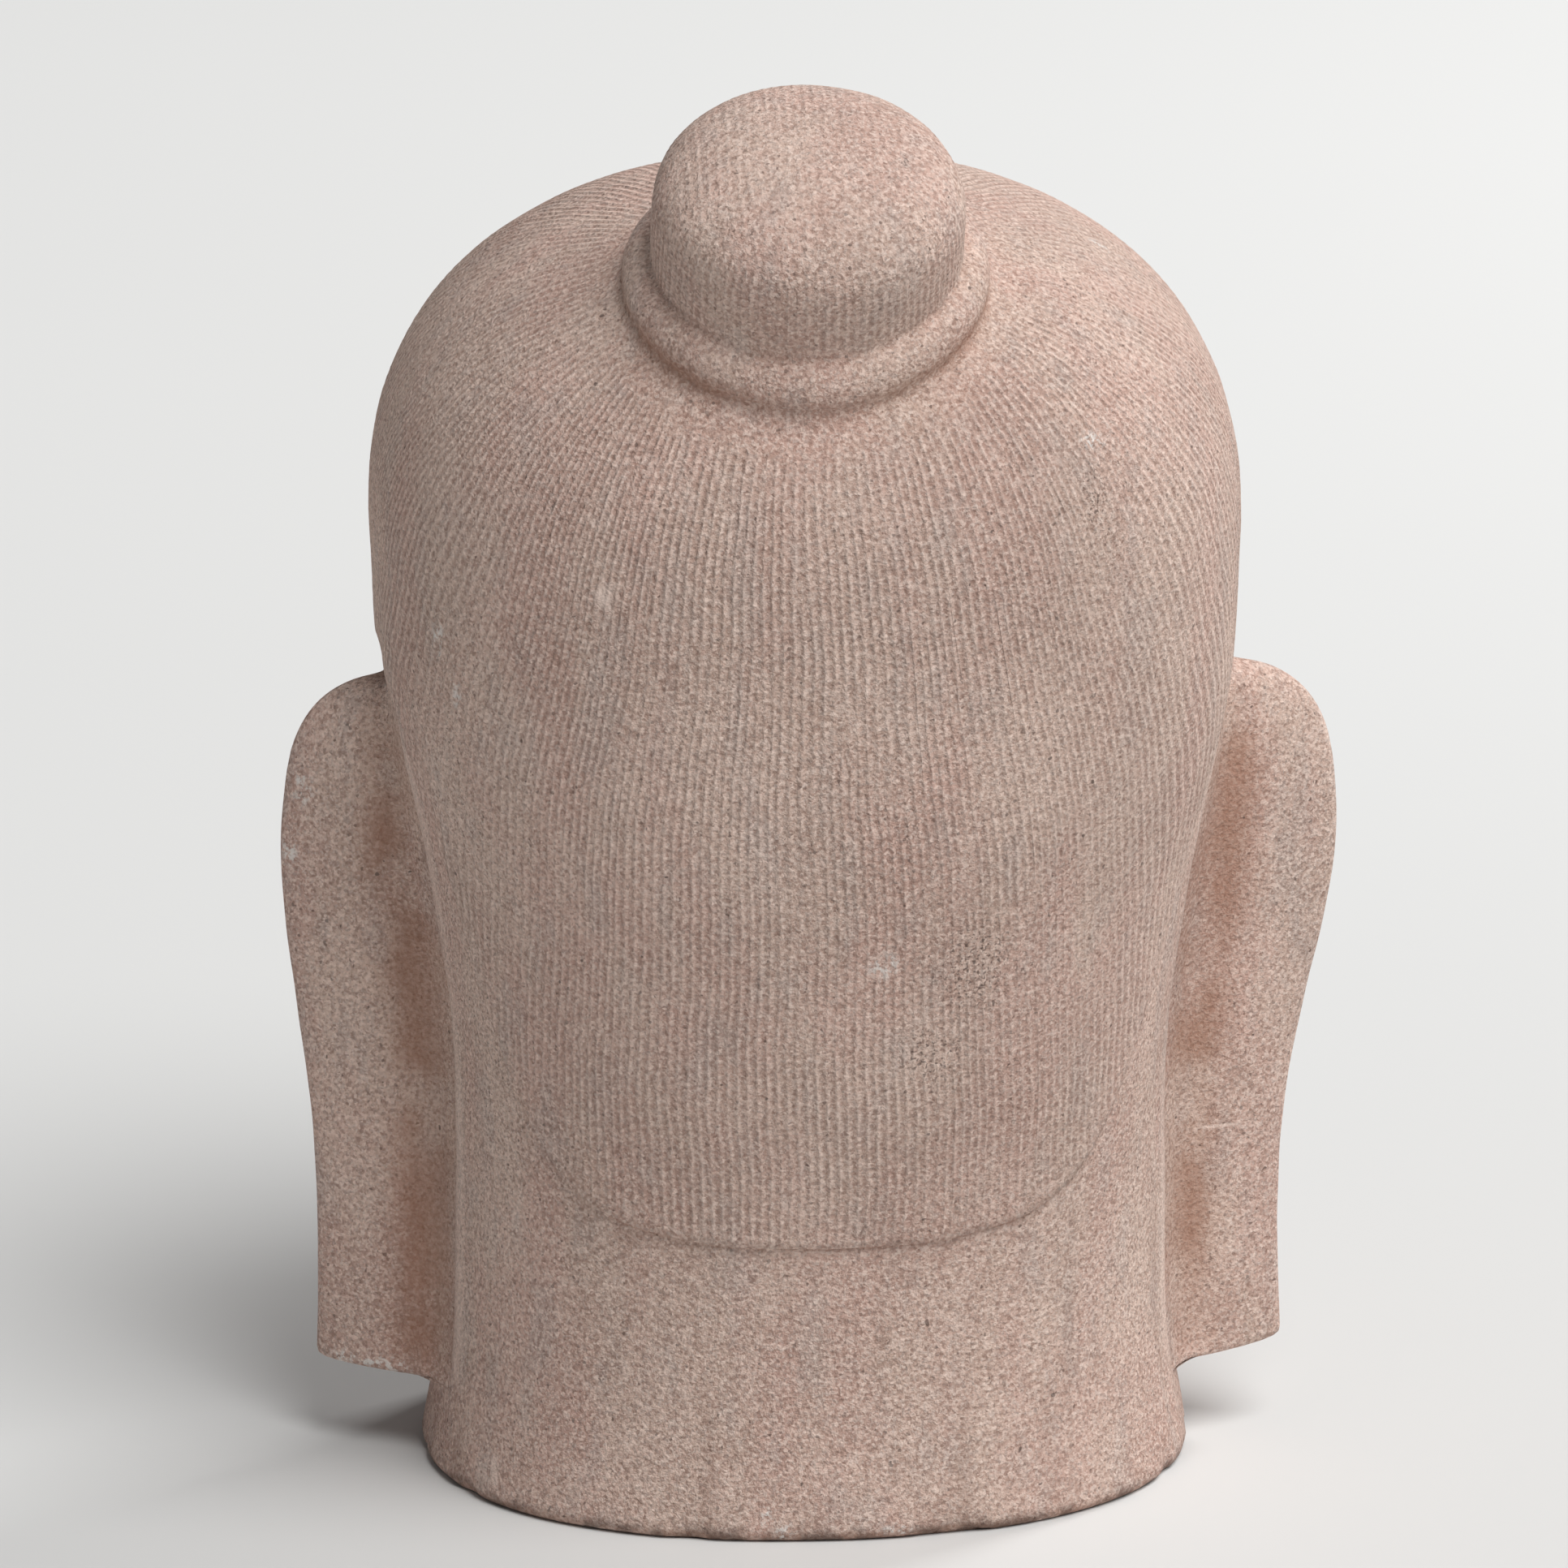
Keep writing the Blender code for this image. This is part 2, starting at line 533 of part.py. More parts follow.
def foot_point(point, t):
    """Closes the skin under the neck: a worn edge, then the flat cut to its middle."""
    turn = np.clip(t / 0.4, 0, 1) * math.pi / 2
    inset = NECK_EDGE_ROUND * (1 - np.cos(turn))
    radius = np.hypot(point[..., 0], point[..., 1])
    rounded = 1 - inset / radius
    flat = np.clip((1 - t) / 0.6, 0, 1)
    scale = np.where(t <= 0.4, rounded, (1 - NECK_EDGE_ROUND / radius) * flat)
    level = NECK_EDGE_ROUND * (1 - np.sin(turn))
    return np.stack([point[..., 0] * scale, point[..., 1] * scale, level], axis=-1)


def carve(share, drop):
    """Place on the carving of a point of the sphere: share of the turn, and drop from top pole to bottom."""
    azimuth, turn, side = column_azimuth(share)
    knot_end, hair_end, skin_end = 0.16, 0.36, 0.955
    in_knot = drop <= knot_end
    in_hair = (drop > knot_end) & (drop <= hair_end)
    in_skin = (drop > hair_end) & (drop <= skin_end)
    in_foot = drop > skin_end
    place = np.zeros(drop.shape + (3,))
    place[in_knot] = knot_point(azimuth[in_knot], drop[in_knot] / knot_end)
    t = (drop[in_hair] - knot_end) / (hair_end - knot_end)
    place[in_hair] = hair_point(azimuth[in_hair], azimuth[in_hair], t)
    t = (drop[in_skin] - hair_end) / (skin_end - hair_end)
    z = skin_level(azimuth[in_skin], np.maximum(t, HAIR_EDGE_SHARE))
    plain = head_point(azimuth[in_skin], z, 0.0 * z)
    folded = ear_point(np.nan_to_num(turn[in_skin]), z, side[in_skin])
    place[in_skin] = np.where(np.isnan(turn[in_skin])[:, None], plain, folded)
    t = (drop[in_foot] - skin_end) / (1 - skin_end)
    level = np.full(t.shape, NECK_EDGE_ROUND)
    edge = head_point(azimuth[in_foot], level, 0.0 * level)
    place[in_foot] = foot_point(edge, t)
    return place


def stone_material():
    """Pink sandstone, dry and unpolished."""
    material = bpy.data.materials.new("pink_sandstone")
    material.use_nodes = True
    shader = material.node_tree.nodes["Principled BSDF"]
    shader.inputs["Base Color"].default_value = (0.50, 0.36, 0.30, 1.0)
    shader.inputs["Roughness"].default_value = 0.92
    shader.inputs["Metallic"].default_value = 0.0
    return material


def stone_head(collection):
    """The carving: a sphere whose points are moved to their places on the head, then thinned."""
    mesh = bpy.data.meshes.new("stone_head")
    sphere = bmesh.new()
    bmesh.ops.create_uvsphere(sphere, u_segments=COLUMNS, v_segments=ROWS, radius=1.0)
    sphere.to_mesh(mesh)
    sphere.free()
    spots = np.empty(len(mesh.vertices) * 3)
    mesh.vertices.foreach_get("co", spots)
    x, y, z = spots.reshape(-1, 3).T
    share = (np.arctan2(x, -y) / (2 * math.pi)) % 1.0
    drop = np.arccos(np.clip(z, -1, 1)) / math.pi
    mesh.vertices.foreach_set("co", carve(share, drop).ravel())
    mesh.shade_smooth()
    head = bpy.data.objects.new("stone_head", mesh)
    head.data.materials.append(stone_material())
    collection.objects.link(head)
    thin = head.modifiers.new("thin", "DECIMATE")
    thin.ratio = TRIANGLES / (2.0 * COLUMNS * (ROWS - 1))
    return head


def main():
    for old in list(bpy.data.objects):
        bpy.data.objects.remove(old, do_unlink=True)
    collection = bpy.data.collections.new("stone_head")
    bpy.context.scene.collection.children.link(collection)
    stone_head(collection)


main()
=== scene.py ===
"""Looks of a carved stone head with a topknot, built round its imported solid.

The head is one closed skin of pink sandstone: the topknot with its roll, the combed hair, then the face,
ears and neck down to the flat cut. It follows the solid's own functions and adds the comb chisel's lines,
the finer carving and the wear. The frame is in metres, +Z up, with the face along -Y.
"""

import math

import bpy
import numpy as np
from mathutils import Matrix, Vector


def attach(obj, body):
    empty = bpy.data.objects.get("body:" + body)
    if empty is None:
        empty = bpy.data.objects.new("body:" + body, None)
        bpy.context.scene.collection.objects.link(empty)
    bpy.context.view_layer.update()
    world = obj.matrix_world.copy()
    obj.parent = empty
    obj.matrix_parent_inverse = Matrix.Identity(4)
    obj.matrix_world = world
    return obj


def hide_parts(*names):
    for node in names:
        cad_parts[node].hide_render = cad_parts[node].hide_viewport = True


bl_info = {
    "name": "Carved stone head",
    "version": (1, 0, 0),
    "blender": (4, 5, 0),
    "location": "View3D > Sidebar > Stone head",
    "description": "Builds a combed sandstone head and the plain stage that it stands on",
    "category": "Add Mesh",
}

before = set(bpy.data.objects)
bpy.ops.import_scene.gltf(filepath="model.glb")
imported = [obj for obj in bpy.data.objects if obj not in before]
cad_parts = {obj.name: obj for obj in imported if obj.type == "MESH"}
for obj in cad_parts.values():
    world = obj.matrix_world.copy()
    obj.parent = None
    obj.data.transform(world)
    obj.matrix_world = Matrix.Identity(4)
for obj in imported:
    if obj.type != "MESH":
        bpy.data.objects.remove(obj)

# Levels over the cut, from the height of the head without its topknot, in metres
HEAD_HEIGHT = 0.320
WIDEST_LEVEL = 0.7375 * HEAD_HEIGHT  # where the hair is widest
DOME_RISE = HEAD_HEIGHT - WIDEST_LEVEL
FRONT_HAIRLINE_LEVEL = 0.828 * HEAD_HEIGHT
EAR_HAIRLINE_LEVEL = 0.644 * HEAD_HEIGHT
NAPE_HAIRLINE_LEVEL = 0.233 * HEAD_HEIGHT
CHIN_LEVEL = 0.2375 * HEAD_HEIGHT
FACE_THIRD = 0.197 * HEAD_HEIGHT  # chin to nose, nose to brow, and brow to the middle of the forehead
EAR_TOP_LEVEL = 0.6163 * HEAD_HEIGHT
EAR_BOTTOM_LEVEL = 0.0656 * HEAD_HEIGHT

# Block and hair
HAIR_HALF_WIDTH = 0.1038
HAIR_BACK_DEPTH = 0.1045
HAIR_FRONT_DEPTH = 0.1040
DOME_FULLNESS = 2.3  # power of the dome's profile, 2 for a plain ellipse
HAIR_STEP_BACK = 0.0009  # how far the hair stands over the skin at the nape
HAIR_STEP_FRONT = 0.0022  # and over the forehead

# Neck
NECK_HALF_WIDTH = 0.0950
NECK_BACK_DEPTH = 0.0800
NECK_FRONT_DEPTH = 0.0760
NECK_EDGE_ROUND = 0.0030
NECK_RING_DEPTH = 0.0011  # of the three rings cut round its front

# Topknot and the roll round its foot
KNOT_LEAN = math.radians(27.5)  # its axis leans back from the vertical
KNOT_SETBACK = 0.0593  # where the axis leaves the hair, behind the middle of the head
KNOT_SHIFT = 0.0040  # and to its left
KNOT_RADIUS = 0.0366
KNOT_HEIGHT = 0.0388
KNOT_CROWN = 0.0196  # height of its rounded top
KNOT_FULLNESS = 2.24  # power of the rounded top's profile
ROLL_RADIUS = 0.0432
ROLL_HEIGHT = 0.0094
ROLL_FILLET = 0.0040

# Face
FACE_HALF_WIDTH = 0.0900
FACE_DEPTH = 0.1010
FACE_BLEND = 0.0140  # width of the soft seam where the face's oval leaves the block
EYE_WIDTH = 0.0340
NOSE_REACH = 0.0220
LIP_FULLNESS = 0.0045
JAW_UNDERCUT = 0.0045  # depth that the neck is cut back under the jaw

# Ears
EAR_SPAN = 0.1292  # from the middle plane to the rim, at its widest
EAR_LOBE_SPAN = 0.1186
EAR_ROOT_THICKNESS = 0.0330
EAR_RIM_THICKNESS = 0.0125
EAR_FILLET = 0.0058
EAR_SETBACK = 0.0020  # middle of the root behind the middle of the head
EAR_SLANT = 0.0070  # how far the rim is forward of the root
EAR_ROOT_FRONT = math.radians(77)  # azimuths of the lines where it leaves the head
EAR_ROOT_BACK = math.radians(103)
EAR_TOP_CORNER = 0.145  # share of the ear's height that its rounded top takes
EAR_FOOT_CORNER = 0.020  # and its foot, which is cut nearly square
EAR_FULLNESS = 3.2  # power of both rounded ends

NOSE_BASE_LEVEL = CHIN_LEVEL + FACE_THIRD
BROW_LEVEL = NOSE_BASE_LEVEL + FACE_THIRD
EYE_LEVEL = BROW_LEVEL - FACE_THIRD / 4

# Profiles of the neck and head below the widest level: (share of that level, share, of which size)
WIDTH_PROFILE = [
    (0.00, 1.000, NECK_HALF_WIDTH),
    (0.12, 0.950, NECK_HALF_WIDTH),
    (0.28, 0.935, NECK_HALF_WIDTH),
    (0.46, 0.930, NECK_HALF_WIDTH),
    (0.64, 0.890, HAIR_HALF_WIDTH),
    (0.82, 0.978, HAIR_HALF_WIDTH),
    (1.00, 1.000, HAIR_HALF_WIDTH),
]
BACK_PROFILE = [
    (0.00, 1.000, NECK_BACK_DEPTH),
    (0.15, 0.975, NECK_BACK_DEPTH),
    (0.30, 0.985, NECK_BACK_DEPTH),
    (0.50, 0.855, HAIR_BACK_DEPTH),
    (0.75, 0.965, HAIR_BACK_DEPTH),
    (1.00, 1.000, HAIR_BACK_DEPTH),
]
FRONT_PROFILE = [
    (0.00, 1.000, NECK_FRONT_DEPTH),
    (0.15, 0.930, NECK_FRONT_DEPTH),
    (0.32, 0.870, NECK_FRONT_DEPTH),
    (0.60, 0.760, HAIR_FRONT_DEPTH),
    (0.86, 0.960, HAIR_FRONT_DEPTH),
    (1.00, 1.000, HAIR_FRONT_DEPTH),
]
# Rim of the ear from its foot to its top: (share of the ear's height, share, of which span)
EAR_PROFILE = [
    (0.00, 1.006, EAR_LOBE_SPAN),
    (0.20, 1.000, EAR_LOBE_SPAN),
    (0.36, 1.010, EAR_LOBE_SPAN),
    (0.50, 0.955, EAR_SPAN),
    (0.64, 0.988, EAR_SPAN),
    (0.75, 1.000, EAR_SPAN),
    (0.86, 0.987, EAR_SPAN),
    (1.00, 0.935, EAR_SPAN),
]
# How much further out the right ear's rim stands than that table says, and the left ear's less
EAR_DRIFT = [
    (0.00, -0.0070, EAR_SPAN),
    (0.40, -0.0062, EAR_SPAN),
    (0.56, 0.0031, EAR_SPAN),
    (0.70, 0.0116, EAR_SPAN),
    (1.00, 0.0132, EAR_SPAN),
]

# Fineness of the skin
KNOT_COLUMNS = 416
HAIR_COLUMNS = 1020
HAIR_ROWS = 34
SKIN_COLUMNS = 352
# Shares of the way from hairline to cut: ear's top corner, eyes, nose, mouth, neck and the ear's foot
SKIN_ROW_STATIONS = [0.0, 0.20, 0.25, 0.38, 0.45, 0.64, 0.87, 1.0]
SKIN_ROW_COUNTS = [28, 4, 30, 8, 34, 20, 14]  # rows between each two of them
HAIR_EDGE_SHARE = 0.004  # share of the skin that the edge of the hair slopes over
EAR_END_ROWS = 24  # stations that follow the rounded end of an ear
LEAST_ROW_GAP = 0.00005

# Lines that the comb chisel cuts round the topknot and, further down, round the head
LINE_SPACING = 0.0023
LINE_COUNTS = [80, 104, 136, 176, 220, 272]  # lines in a full turn, from the top down
LINE_STEPS = [91.0, 118.0, 155.0, 197.0, 245.0]  # room for lines at which one count gives way to the next
LONG_WAVER = 0.20  # shares of the spacing by which a line strays
SHORT_WAVER = 0.06
FAN_BEGINS = (-0.27, -0.22)  # way down over which the side-by-side lines turn into the fan

# Stage
PHOTO_PIXELS = 1932
SENSOR_WIDTH = 36.0  # millimetres
CAMERA_TARGET = (0.00506, 0.0, 0.1671)
LIGHT_TARGET = (0.0, 0.0, 0.18)
KEY_PLACE = (-0.84, 1.12, 2.22)
KEY_SPREAD = math.radians(40)
FILL_PLACE = (1.60, 0.90, 0.60)
FILL_WIDTH = 1.4
FRONT_PLACE = (-2.00, -1.70, 1.80)
FRONT_WIDTH = 0.7
FLOOR_REACH = 40.0


def ease(low, high, x):
    """0 below low, 1 above high, and a smooth S between them."""
    t = np.clip((x - low) / (high - low), 0.0, 1.0)
    return t * t * (3.0 - 2.0 * t)


def bell(x, width):
    """1 at zero, fading to nothing at about twice the width on either side."""
    return np.exp(-((x / width) ** 2))


def arc(share, power):
    """Quarter of a superellipse: 1 where the share of its width is 0, falling to 0 where it is 1."""
    return (1 - share**power) ** (1 / power)


def through(x, stations):
    """Smooth curve through (place, value) stations: a cubic between each two, with their slopes.

    A third number in a station is a size that its value is a share of.
    """
    at, value = np.array([(row[0], math.prod(row[1:])) for row in stations]).T
    slope = np.gradient(value, at)
    i = np.clip(np.searchsorted(at, x) - 1, 0, len(at) - 2)
    step = at[i + 1] - at[i]
    t = np.clip((x - at[i]) / step, 0.0, 1.0)
    return (
        value[i] * (1 - t) ** 2 * (1 + 2 * t)
        + value[i + 1] * t**2 * (3 - 2 * t)
        + step * (slope[i] * t * (1 - t) ** 2 - slope[i + 1] * t**2 * (1 - t))
    )


def ripple(place, length, seed):
    """Smooth unevenness between about -1 and 1: sine waves of about this length in seeded directions."""
    count = 9
    chance = np.random.default_rng(seed)
    waves = chance.normal(size=(count, 3))
    turns = (2 * math.pi / length) * chance.uniform(0.6, 1.5, (count, 1))
    waves *= turns / np.linalg.norm(waves, axis=1)[:, None]
    start = chance.uniform(0, 2 * math.pi, count)
    return np.sin(place @ waves.T + start).sum(axis=-1) / (count / 2)


def oval_radius(azimuth, half_width, front, back, power):
    """Radius of a superellipse section whose front and back halves have their own depth."""
    depth = np.where(np.cos(azimuth) > 0, front, back)
    across = np.abs(np.sin(azimuth)) / half_width
    along = np.abs(np.cos(azimuth)) / depth
    return (across**power + along**power) ** (-1.0 / power)


def dome_share(z):
    """Share of the widest section that is left at a level in the dome of the hair."""
    rise = np.clip((z - WIDEST_LEVEL) / DOME_RISE, 0.0, 1.0 - 1e-9)
    return arc(rise, DOME_FULLNESS)


def block_radius(azimuth, z):
    """Hair, back of the head and neck, without the face."""
    low = np.minimum(z, WIDEST_LEVEL) / WIDEST_LEVEL
    half_width = through(low, WIDTH_PROFILE)
    back = through(low, BACK_PROFILE)
    front = through(low, FRONT_PROFILE)
    share = dome_share(z)
    return oval_radius(azimuth, half_width * share, front * share, back * share, 2.25)


def face_radius(azimuth, z):
    """The oval of the face: wide at the cheekbones, closing under the chin and inside the hair."""
    drop = np.clip((EYE_LEVEL - z) / (EYE_LEVEL - CHIN_LEVEL), 0.0, 0.9999)
    climb = np.clip((z - EYE_LEVEL) / (1.9 * FACE_THIRD), 0.0, 0.9999)
    half_width = FACE_HALF_WIDTH * (1 - drop**2.7) ** (1 / 2.2) * (1 - climb**2.4) ** (1 / 2.4)
    front = FACE_DEPTH * (1 - drop**5.0) ** (1 / 2.6) * (1 - climb**2.6) ** (1 / 2.6)
    floor = 1e-4
    return oval_radius(azimuth, half_width + floor, front + floor, 0.6 * front + floor, 2.35)


def head_radius(azimuth, z):
    """Soft union of the block and the oval of the face, as a distance from the upright axis."""
    block = block_radius(azimuth, z)
    face = face_radius(azimuth, z)
    near = np.clip(1 - np.abs(block - face) / FACE_BLEND, 0, 1)
    return np.maximum(block, face) + FACE_BLEND * near**2 / 4 * dome_share(z)


def hairline_level(azimuth):
    """Level of the edge of the hair: over the forehead, past the ears and round the nape."""
    ear_drop = FRONT_HAIRLINE_LEVEL - EAR_HAIRLINE_LEVEL
    nape_drop = EAR_HAIRLINE_LEVEL - NAPE_HAIRLINE_LEVEL
    front = [(0, 0.0), (22, -0.02), (42, 0.12), (56, 0.48), (65, 0.84), (73, 0.98)]
    back = [(84, 0.0), (100, 0.01), (107, 0.12), (113, 0.30), (119, 0.52)]
    back += [(127, 0.735), (134, 0.870), (142, 0.945), (155, 0.985), (180, 1.0)]
    stations = [(angle, FRONT_HAIRLINE_LEVEL - share * ear_drop) for angle, share in front]
    stations += [(angle, EAR_HAIRLINE_LEVEL - share * nape_drop) for angle, share in back]
    return through(np.degrees(np.abs(azimuth)), stations)


def hair_step(azimuth):
    """How far the hair stands over the skin."""
    frontal = 1 - ease(math.radians(55), math.radians(105), np.abs(azimuth))
    return HAIR_STEP_BACK + (HAIR_STEP_FRONT - HAIR_STEP_BACK) * frontal


def brow_and_eyes(side, level):
    """Arched brow, hollow under it and a lowered lid over the eye, as a share of a third of the face."""
    brow = 1.08 - 0.16 * ((side - 1.06) / 0.88) ** 2
    below = brow - level
    across = ease(0.18, 0.47, side) * (1 - ease(1.53, 2.18, side))
    socket = -0.127 * across * ease(0.0, 0.095, below) * (1 - ease(0.127, 0.57, below))
    u = (side - 1) / 0.58
    almond = np.clip(1 - u**2, 0.0, 1.0)
    middle = 0.718 + 0.025 * u
    v = (level - middle) / (0.198 * almond**0.65 + 1e-4)
    inside = np.clip(1 - v**2, 0.0, 1.0)
    ball = 0.127 * almond**0.5 * inside**0.72
    slit = middle - 0.048 - 0.057 * almond
    lid = 0.022 * ease(-0.0060, 0.0060, level - slit) - 0.040 * bell(level - slit + 0.008, 0.0150)
    lid = lid * ease(0.02, 0.30, almond * inside)
    crease = -0.024 * bell(level - middle - 0.159 * almond**0.7 - 0.035, 0.0165) * ease(0.05, 0.30, almond)
    return socket + ball + lid + crease


def nose(side, level):
    """Straight ridge from between the brows to a rounded tip, with wings and a cut underside."""
    reach = through(
        level,
        [
            (-0.12, 0.0),
            (-0.06, 0.10),
            (-0.02, 0.60),
            (0.03, 0.95),
            (0.10, 1.00),
            (0.20, 0.88),
            (0.42, 0.60),
            (0.70, 0.32),
            (0.90, 0.20),
            (1.08, 0.0),
        ],
    )
    width = through(level, [(-0.1, 0.28), (0.1, 0.29), (0.3, 0.22), (0.6, 0.19), (0.8, 0.21), (1.05, 0.32)])
    ridge = np.maximum(reach, 0.0) * np.exp(-((side / width) ** 2.4))
    u = (side - 0.40) / 0.23
    v = (level - 0.071) / 0.119
    wing = 0.146 * np.clip(1 - u**2 - v**2, 0.0, 1.0) ** 0.7
    nostril = -0.056 * bell(side - 0.20, 0.0765) * bell(level + 0.0127, 0.0413)
    return ridge * NOSE_REACH / FACE_THIRD + wing * (1 - 0.45 * ridge) + nostril


def mouth(side, level):
    """Full closed lips with a slight lift at the corners, the groove over them and the chin under them."""
    half = 0.81
    over = level + 1 / 3
    span = np.clip(side / half, 0.0, 1.0)
    line = 0.032 * span**2 - 0.0143 * bell(side, 0.147)
    upper = 0.124 * (1 - span**2.2) * (1 - 0.16 * bell(side, 0.103)) + 1e-4
    lower = 0.146 * (1 - np.clip(side / (0.88 * half), 0.0, 1.0) ** 2.4) + 1e-4
    above = np.clip((over - line) / upper, 0.0, 1.0)
    below = np.clip((line - over) / lower, 0.0, 1.0)
    taper = np.sqrt(np.clip(1 - span**2, 0.0, 1.0))
    lips = taper * (np.sin(math.pi * above) ** 0.7 + 1.15 * np.sin(math.pi * below) ** 0.7)
    parting = -0.046 * bell(over - line, 0.0190) * (1 - ease(0.79, 0.91, side))
    muzzle = 0.067 * bell(side, 1.06) * bell(over, 0.365)
    dimple = -0.019 * bell(side - 0.88, 0.147) * bell(over - 0.032, 0.095)
    groove = -0.0206 * bell(side, 0.094) * ease(0.119, 0.159, over) * (1 - ease(-0.095, -0.032, level))
    fold = -0.048 * bell(over + 0.238, 0.079) * bell(side, 0.647)
    chin = 0.092 * bell(side, 0.544) * bell(level + 0.778, 0.1825)
    return lips * LIP_FULLNESS / FACE_THIRD + parting + muzzle + dimple + groove + fold + chin


def face_relief(x, z):
    """Height of the carved face in front of its oval.

    The carving is laid out in eye widths to the side and in thirds of the face up from the base of the nose.
    """
    side = np.abs(x) / EYE_WIDTH
    level = (z - NOSE_BASE_LEVEL) / FACE_THIRD
    cheek = 0.060 * bell(side - 1.41, 0.706) * bell(level - 0.0635, 0.4286)
    return FACE_THIRD * (brow_and_eyes(side, level) + nose(side, level) + mouth(side, level) + cheek)


def neck_lines(azimuth, z):
    """Three shallow rings cut round the front of the neck."""
    front = 1 - ease(math.radians(50), math.radians(74), np.abs(azimuth))
    level = z / CHIN_LEVEL + 0.06 * np.cos(azimuth)
    return -NECK_RING_DEPTH * front * sum(bell(level - ring, 0.032) for ring in (0.80, 0.59, 0.38))


def under_jaw(azimuth, z):
    """How far the neck stands back under the line of the jaw, which climbs from the chin to the lobes."""
    turned = np.abs(azimuth) / EAR_ROOT_FRONT
    line = 0.80 * ease(0.10, 1.0, turned) - 0.04
    below = line - (z - CHIN_LEVEL) / FACE_THIRD
    front = 1 - ease(0.80, 0.98, turned)
    return -JAW_UNDERCUT * front * ease(0.0, 0.11, below) * (1 - ease(0.35, 1.15, below))


def head_point(azimuth, z, step):
    """Point of the head without its ears, with the hair's step added where it is asked for."""
    radius = head_radius(azimuth, z) + step + neck_lines(azimuth, z) + under_jaw(azimuth, z)
    x = radius * np.sin(azimuth)
    y = -radius * np.cos(azimuth)
    frontal = 1 - ease(math.radians(58), math.radians(76), np.abs(azimuth))
    y = y - frontal * (1 - np.clip(step / HAIR_STEP_FRONT, 0, 1)) * face_relief(x, z)
    return np.stack([x, y, z], axis=-1)


def ear_reach(z, side):
    """Distance of the ear's rim from the middle plane, its level in the ear, and its share of full reach."""
    level = (z - EAR_BOTTOM_LEVEL) / (EAR_TOP_LEVEL - EAR_BOTTOM_LEVEL)
    rim = through(level, EAR_PROFILE) - side * through(level, EAR_DRIFT)
    root = 0.95 * NECK_HALF_WIDTH
    near_top = np.clip((level - 1 + EAR_TOP_CORNER) / EAR_TOP_CORNER, 0, 1)
    near_foot = np.clip((EAR_FOOT_CORNER - level) / EAR_FOOT_CORNER, 0, 1)
    rounded = arc(near_top, EAR_FULLNESS) * arc(near_foot, EAR_FULLNESS)
    share = np.where((level > 0) & (level < 1), rounded, 0.0)
    return root + (rim - root) * share, level, share


def ear_hollows(out, level):
    """Depth cut into the front of the ear: the shell inside the rim and the long hollow of the lobe.

    out runs from 0 at the head to 1 at the rim, and level from 0 at the foot of the lobe to 1 at the top.
    """
    rim = 1 - ease(0.66, 0.84, out)
    upper = ease(0.50, 0.60, level) * (1 - ease(0.90, 0.965, level))
    shell = 0.145 * rim * upper * ease(0.02, 0.22, out)
    ridge = -0.091 * bell(out - 0.46 - 0.25 * (level - 0.74), 0.10) * upper
    bowl = 0.121 * bell(out - 0.22, 0.17) * bell(level - 0.66, 0.075)
    lobe = 0.109 * bell(out - 0.52, 0.17) * ease(0.07, 0.15, level) * (1 - ease(0.40, 0.50, level))
    return EAR_ROOT_THICKNESS * (shell + ridge + bowl + lobe)


def ear_point(turn, z, side):
    """Point on an ear. turn runs from -1 at the front root, by 0 at the rim, to 1 at the back root."""
    azimuth = side * (EAR_ROOT_FRONT + (EAR_ROOT_BACK - EAR_ROOT_FRONT) * (turn + 1) / 2)
    wall = head_point(azimuth, z, 0.0 * z)
    reach, level, share = ear_reach(z, side)
    root_x = 0.95 * NECK_HALF_WIDTH
    width = reach - root_x
    sweep = turn * math.pi / 2
    power = 2 / 2.7
    out = np.abs(np.cos(sweep)) ** power
    across = np.sign(turn) * np.abs(np.sin(sweep)) ** power
    near_top = np.clip((level - 1 + 1.6 * EAR_TOP_CORNER) / (1.6 * EAR_TOP_CORNER), 0, 1)
    thin_top = 0.25 + 0.75 * np.sqrt(1 - near_top**2)
    thickness = (EAR_ROOT_THICKNESS + (EAR_RIM_THICKNESS - EAR_ROOT_THICKNESS) * out) * thin_top
    flare = EAR_FILLET * np.clip(1 - out * width / EAR_FILLET, 0, 1) ** 2
    along = across * thickness / 2 + np.sign(turn) * flare
    cut = ear_hollows(out, level) * ease(0.0, 0.35, -turn)
    slant = -EAR_SLANT * out * width / (EAR_SPAN - root_x)
    x = side * (root_x + out * width)
    y = EAR_SETBACK + along + slant + cut
    blade = np.stack([x, y, z], axis=-1)
    for end in (-1, 1):
        foot = head_point(side * (EAR_ROOT_FRONT if end < 0 else EAR_ROOT_BACK), z, 0.0 * z)
        flank = EAR_SETBACK + end * (EAR_ROOT_THICKNESS / 2 + EAR_FILLET)
        base = np.stack([side * root_x + 0 * z, flank + 0 * z, z], axis=-1)
        weight = np.clip(end * turn, 0, 1) ** 3
        blade = blade + weight[..., None] * (foot - base)
    present = ease(0.0, 0.6, share)[..., None]
    return wall + present * (blade - wall)


def dome_height(setback):
    """Height of the dome over a place behind its middle, as a share of its rise."""
    return arc(setback / HAIR_BACK_DEPTH, DOME_FULLNESS)


def knot_frame():
    """Seat of the topknot on the dome, its axis and its forward direction."""
    seat = np.array([KNOT_SHIFT, KNOT_SETBACK, WIDEST_LEVEL + DOME_RISE * dome_height(KNOT_SETBACK)])
    axis = np.array([0.0, math.sin(KNOT_LEAN), math.cos(KNOT_LEAN)])
    forward = np.array([0.0, -math.cos(KNOT_LEAN), math.sin(KNOT_LEAN)])
    return seat, axis, forward


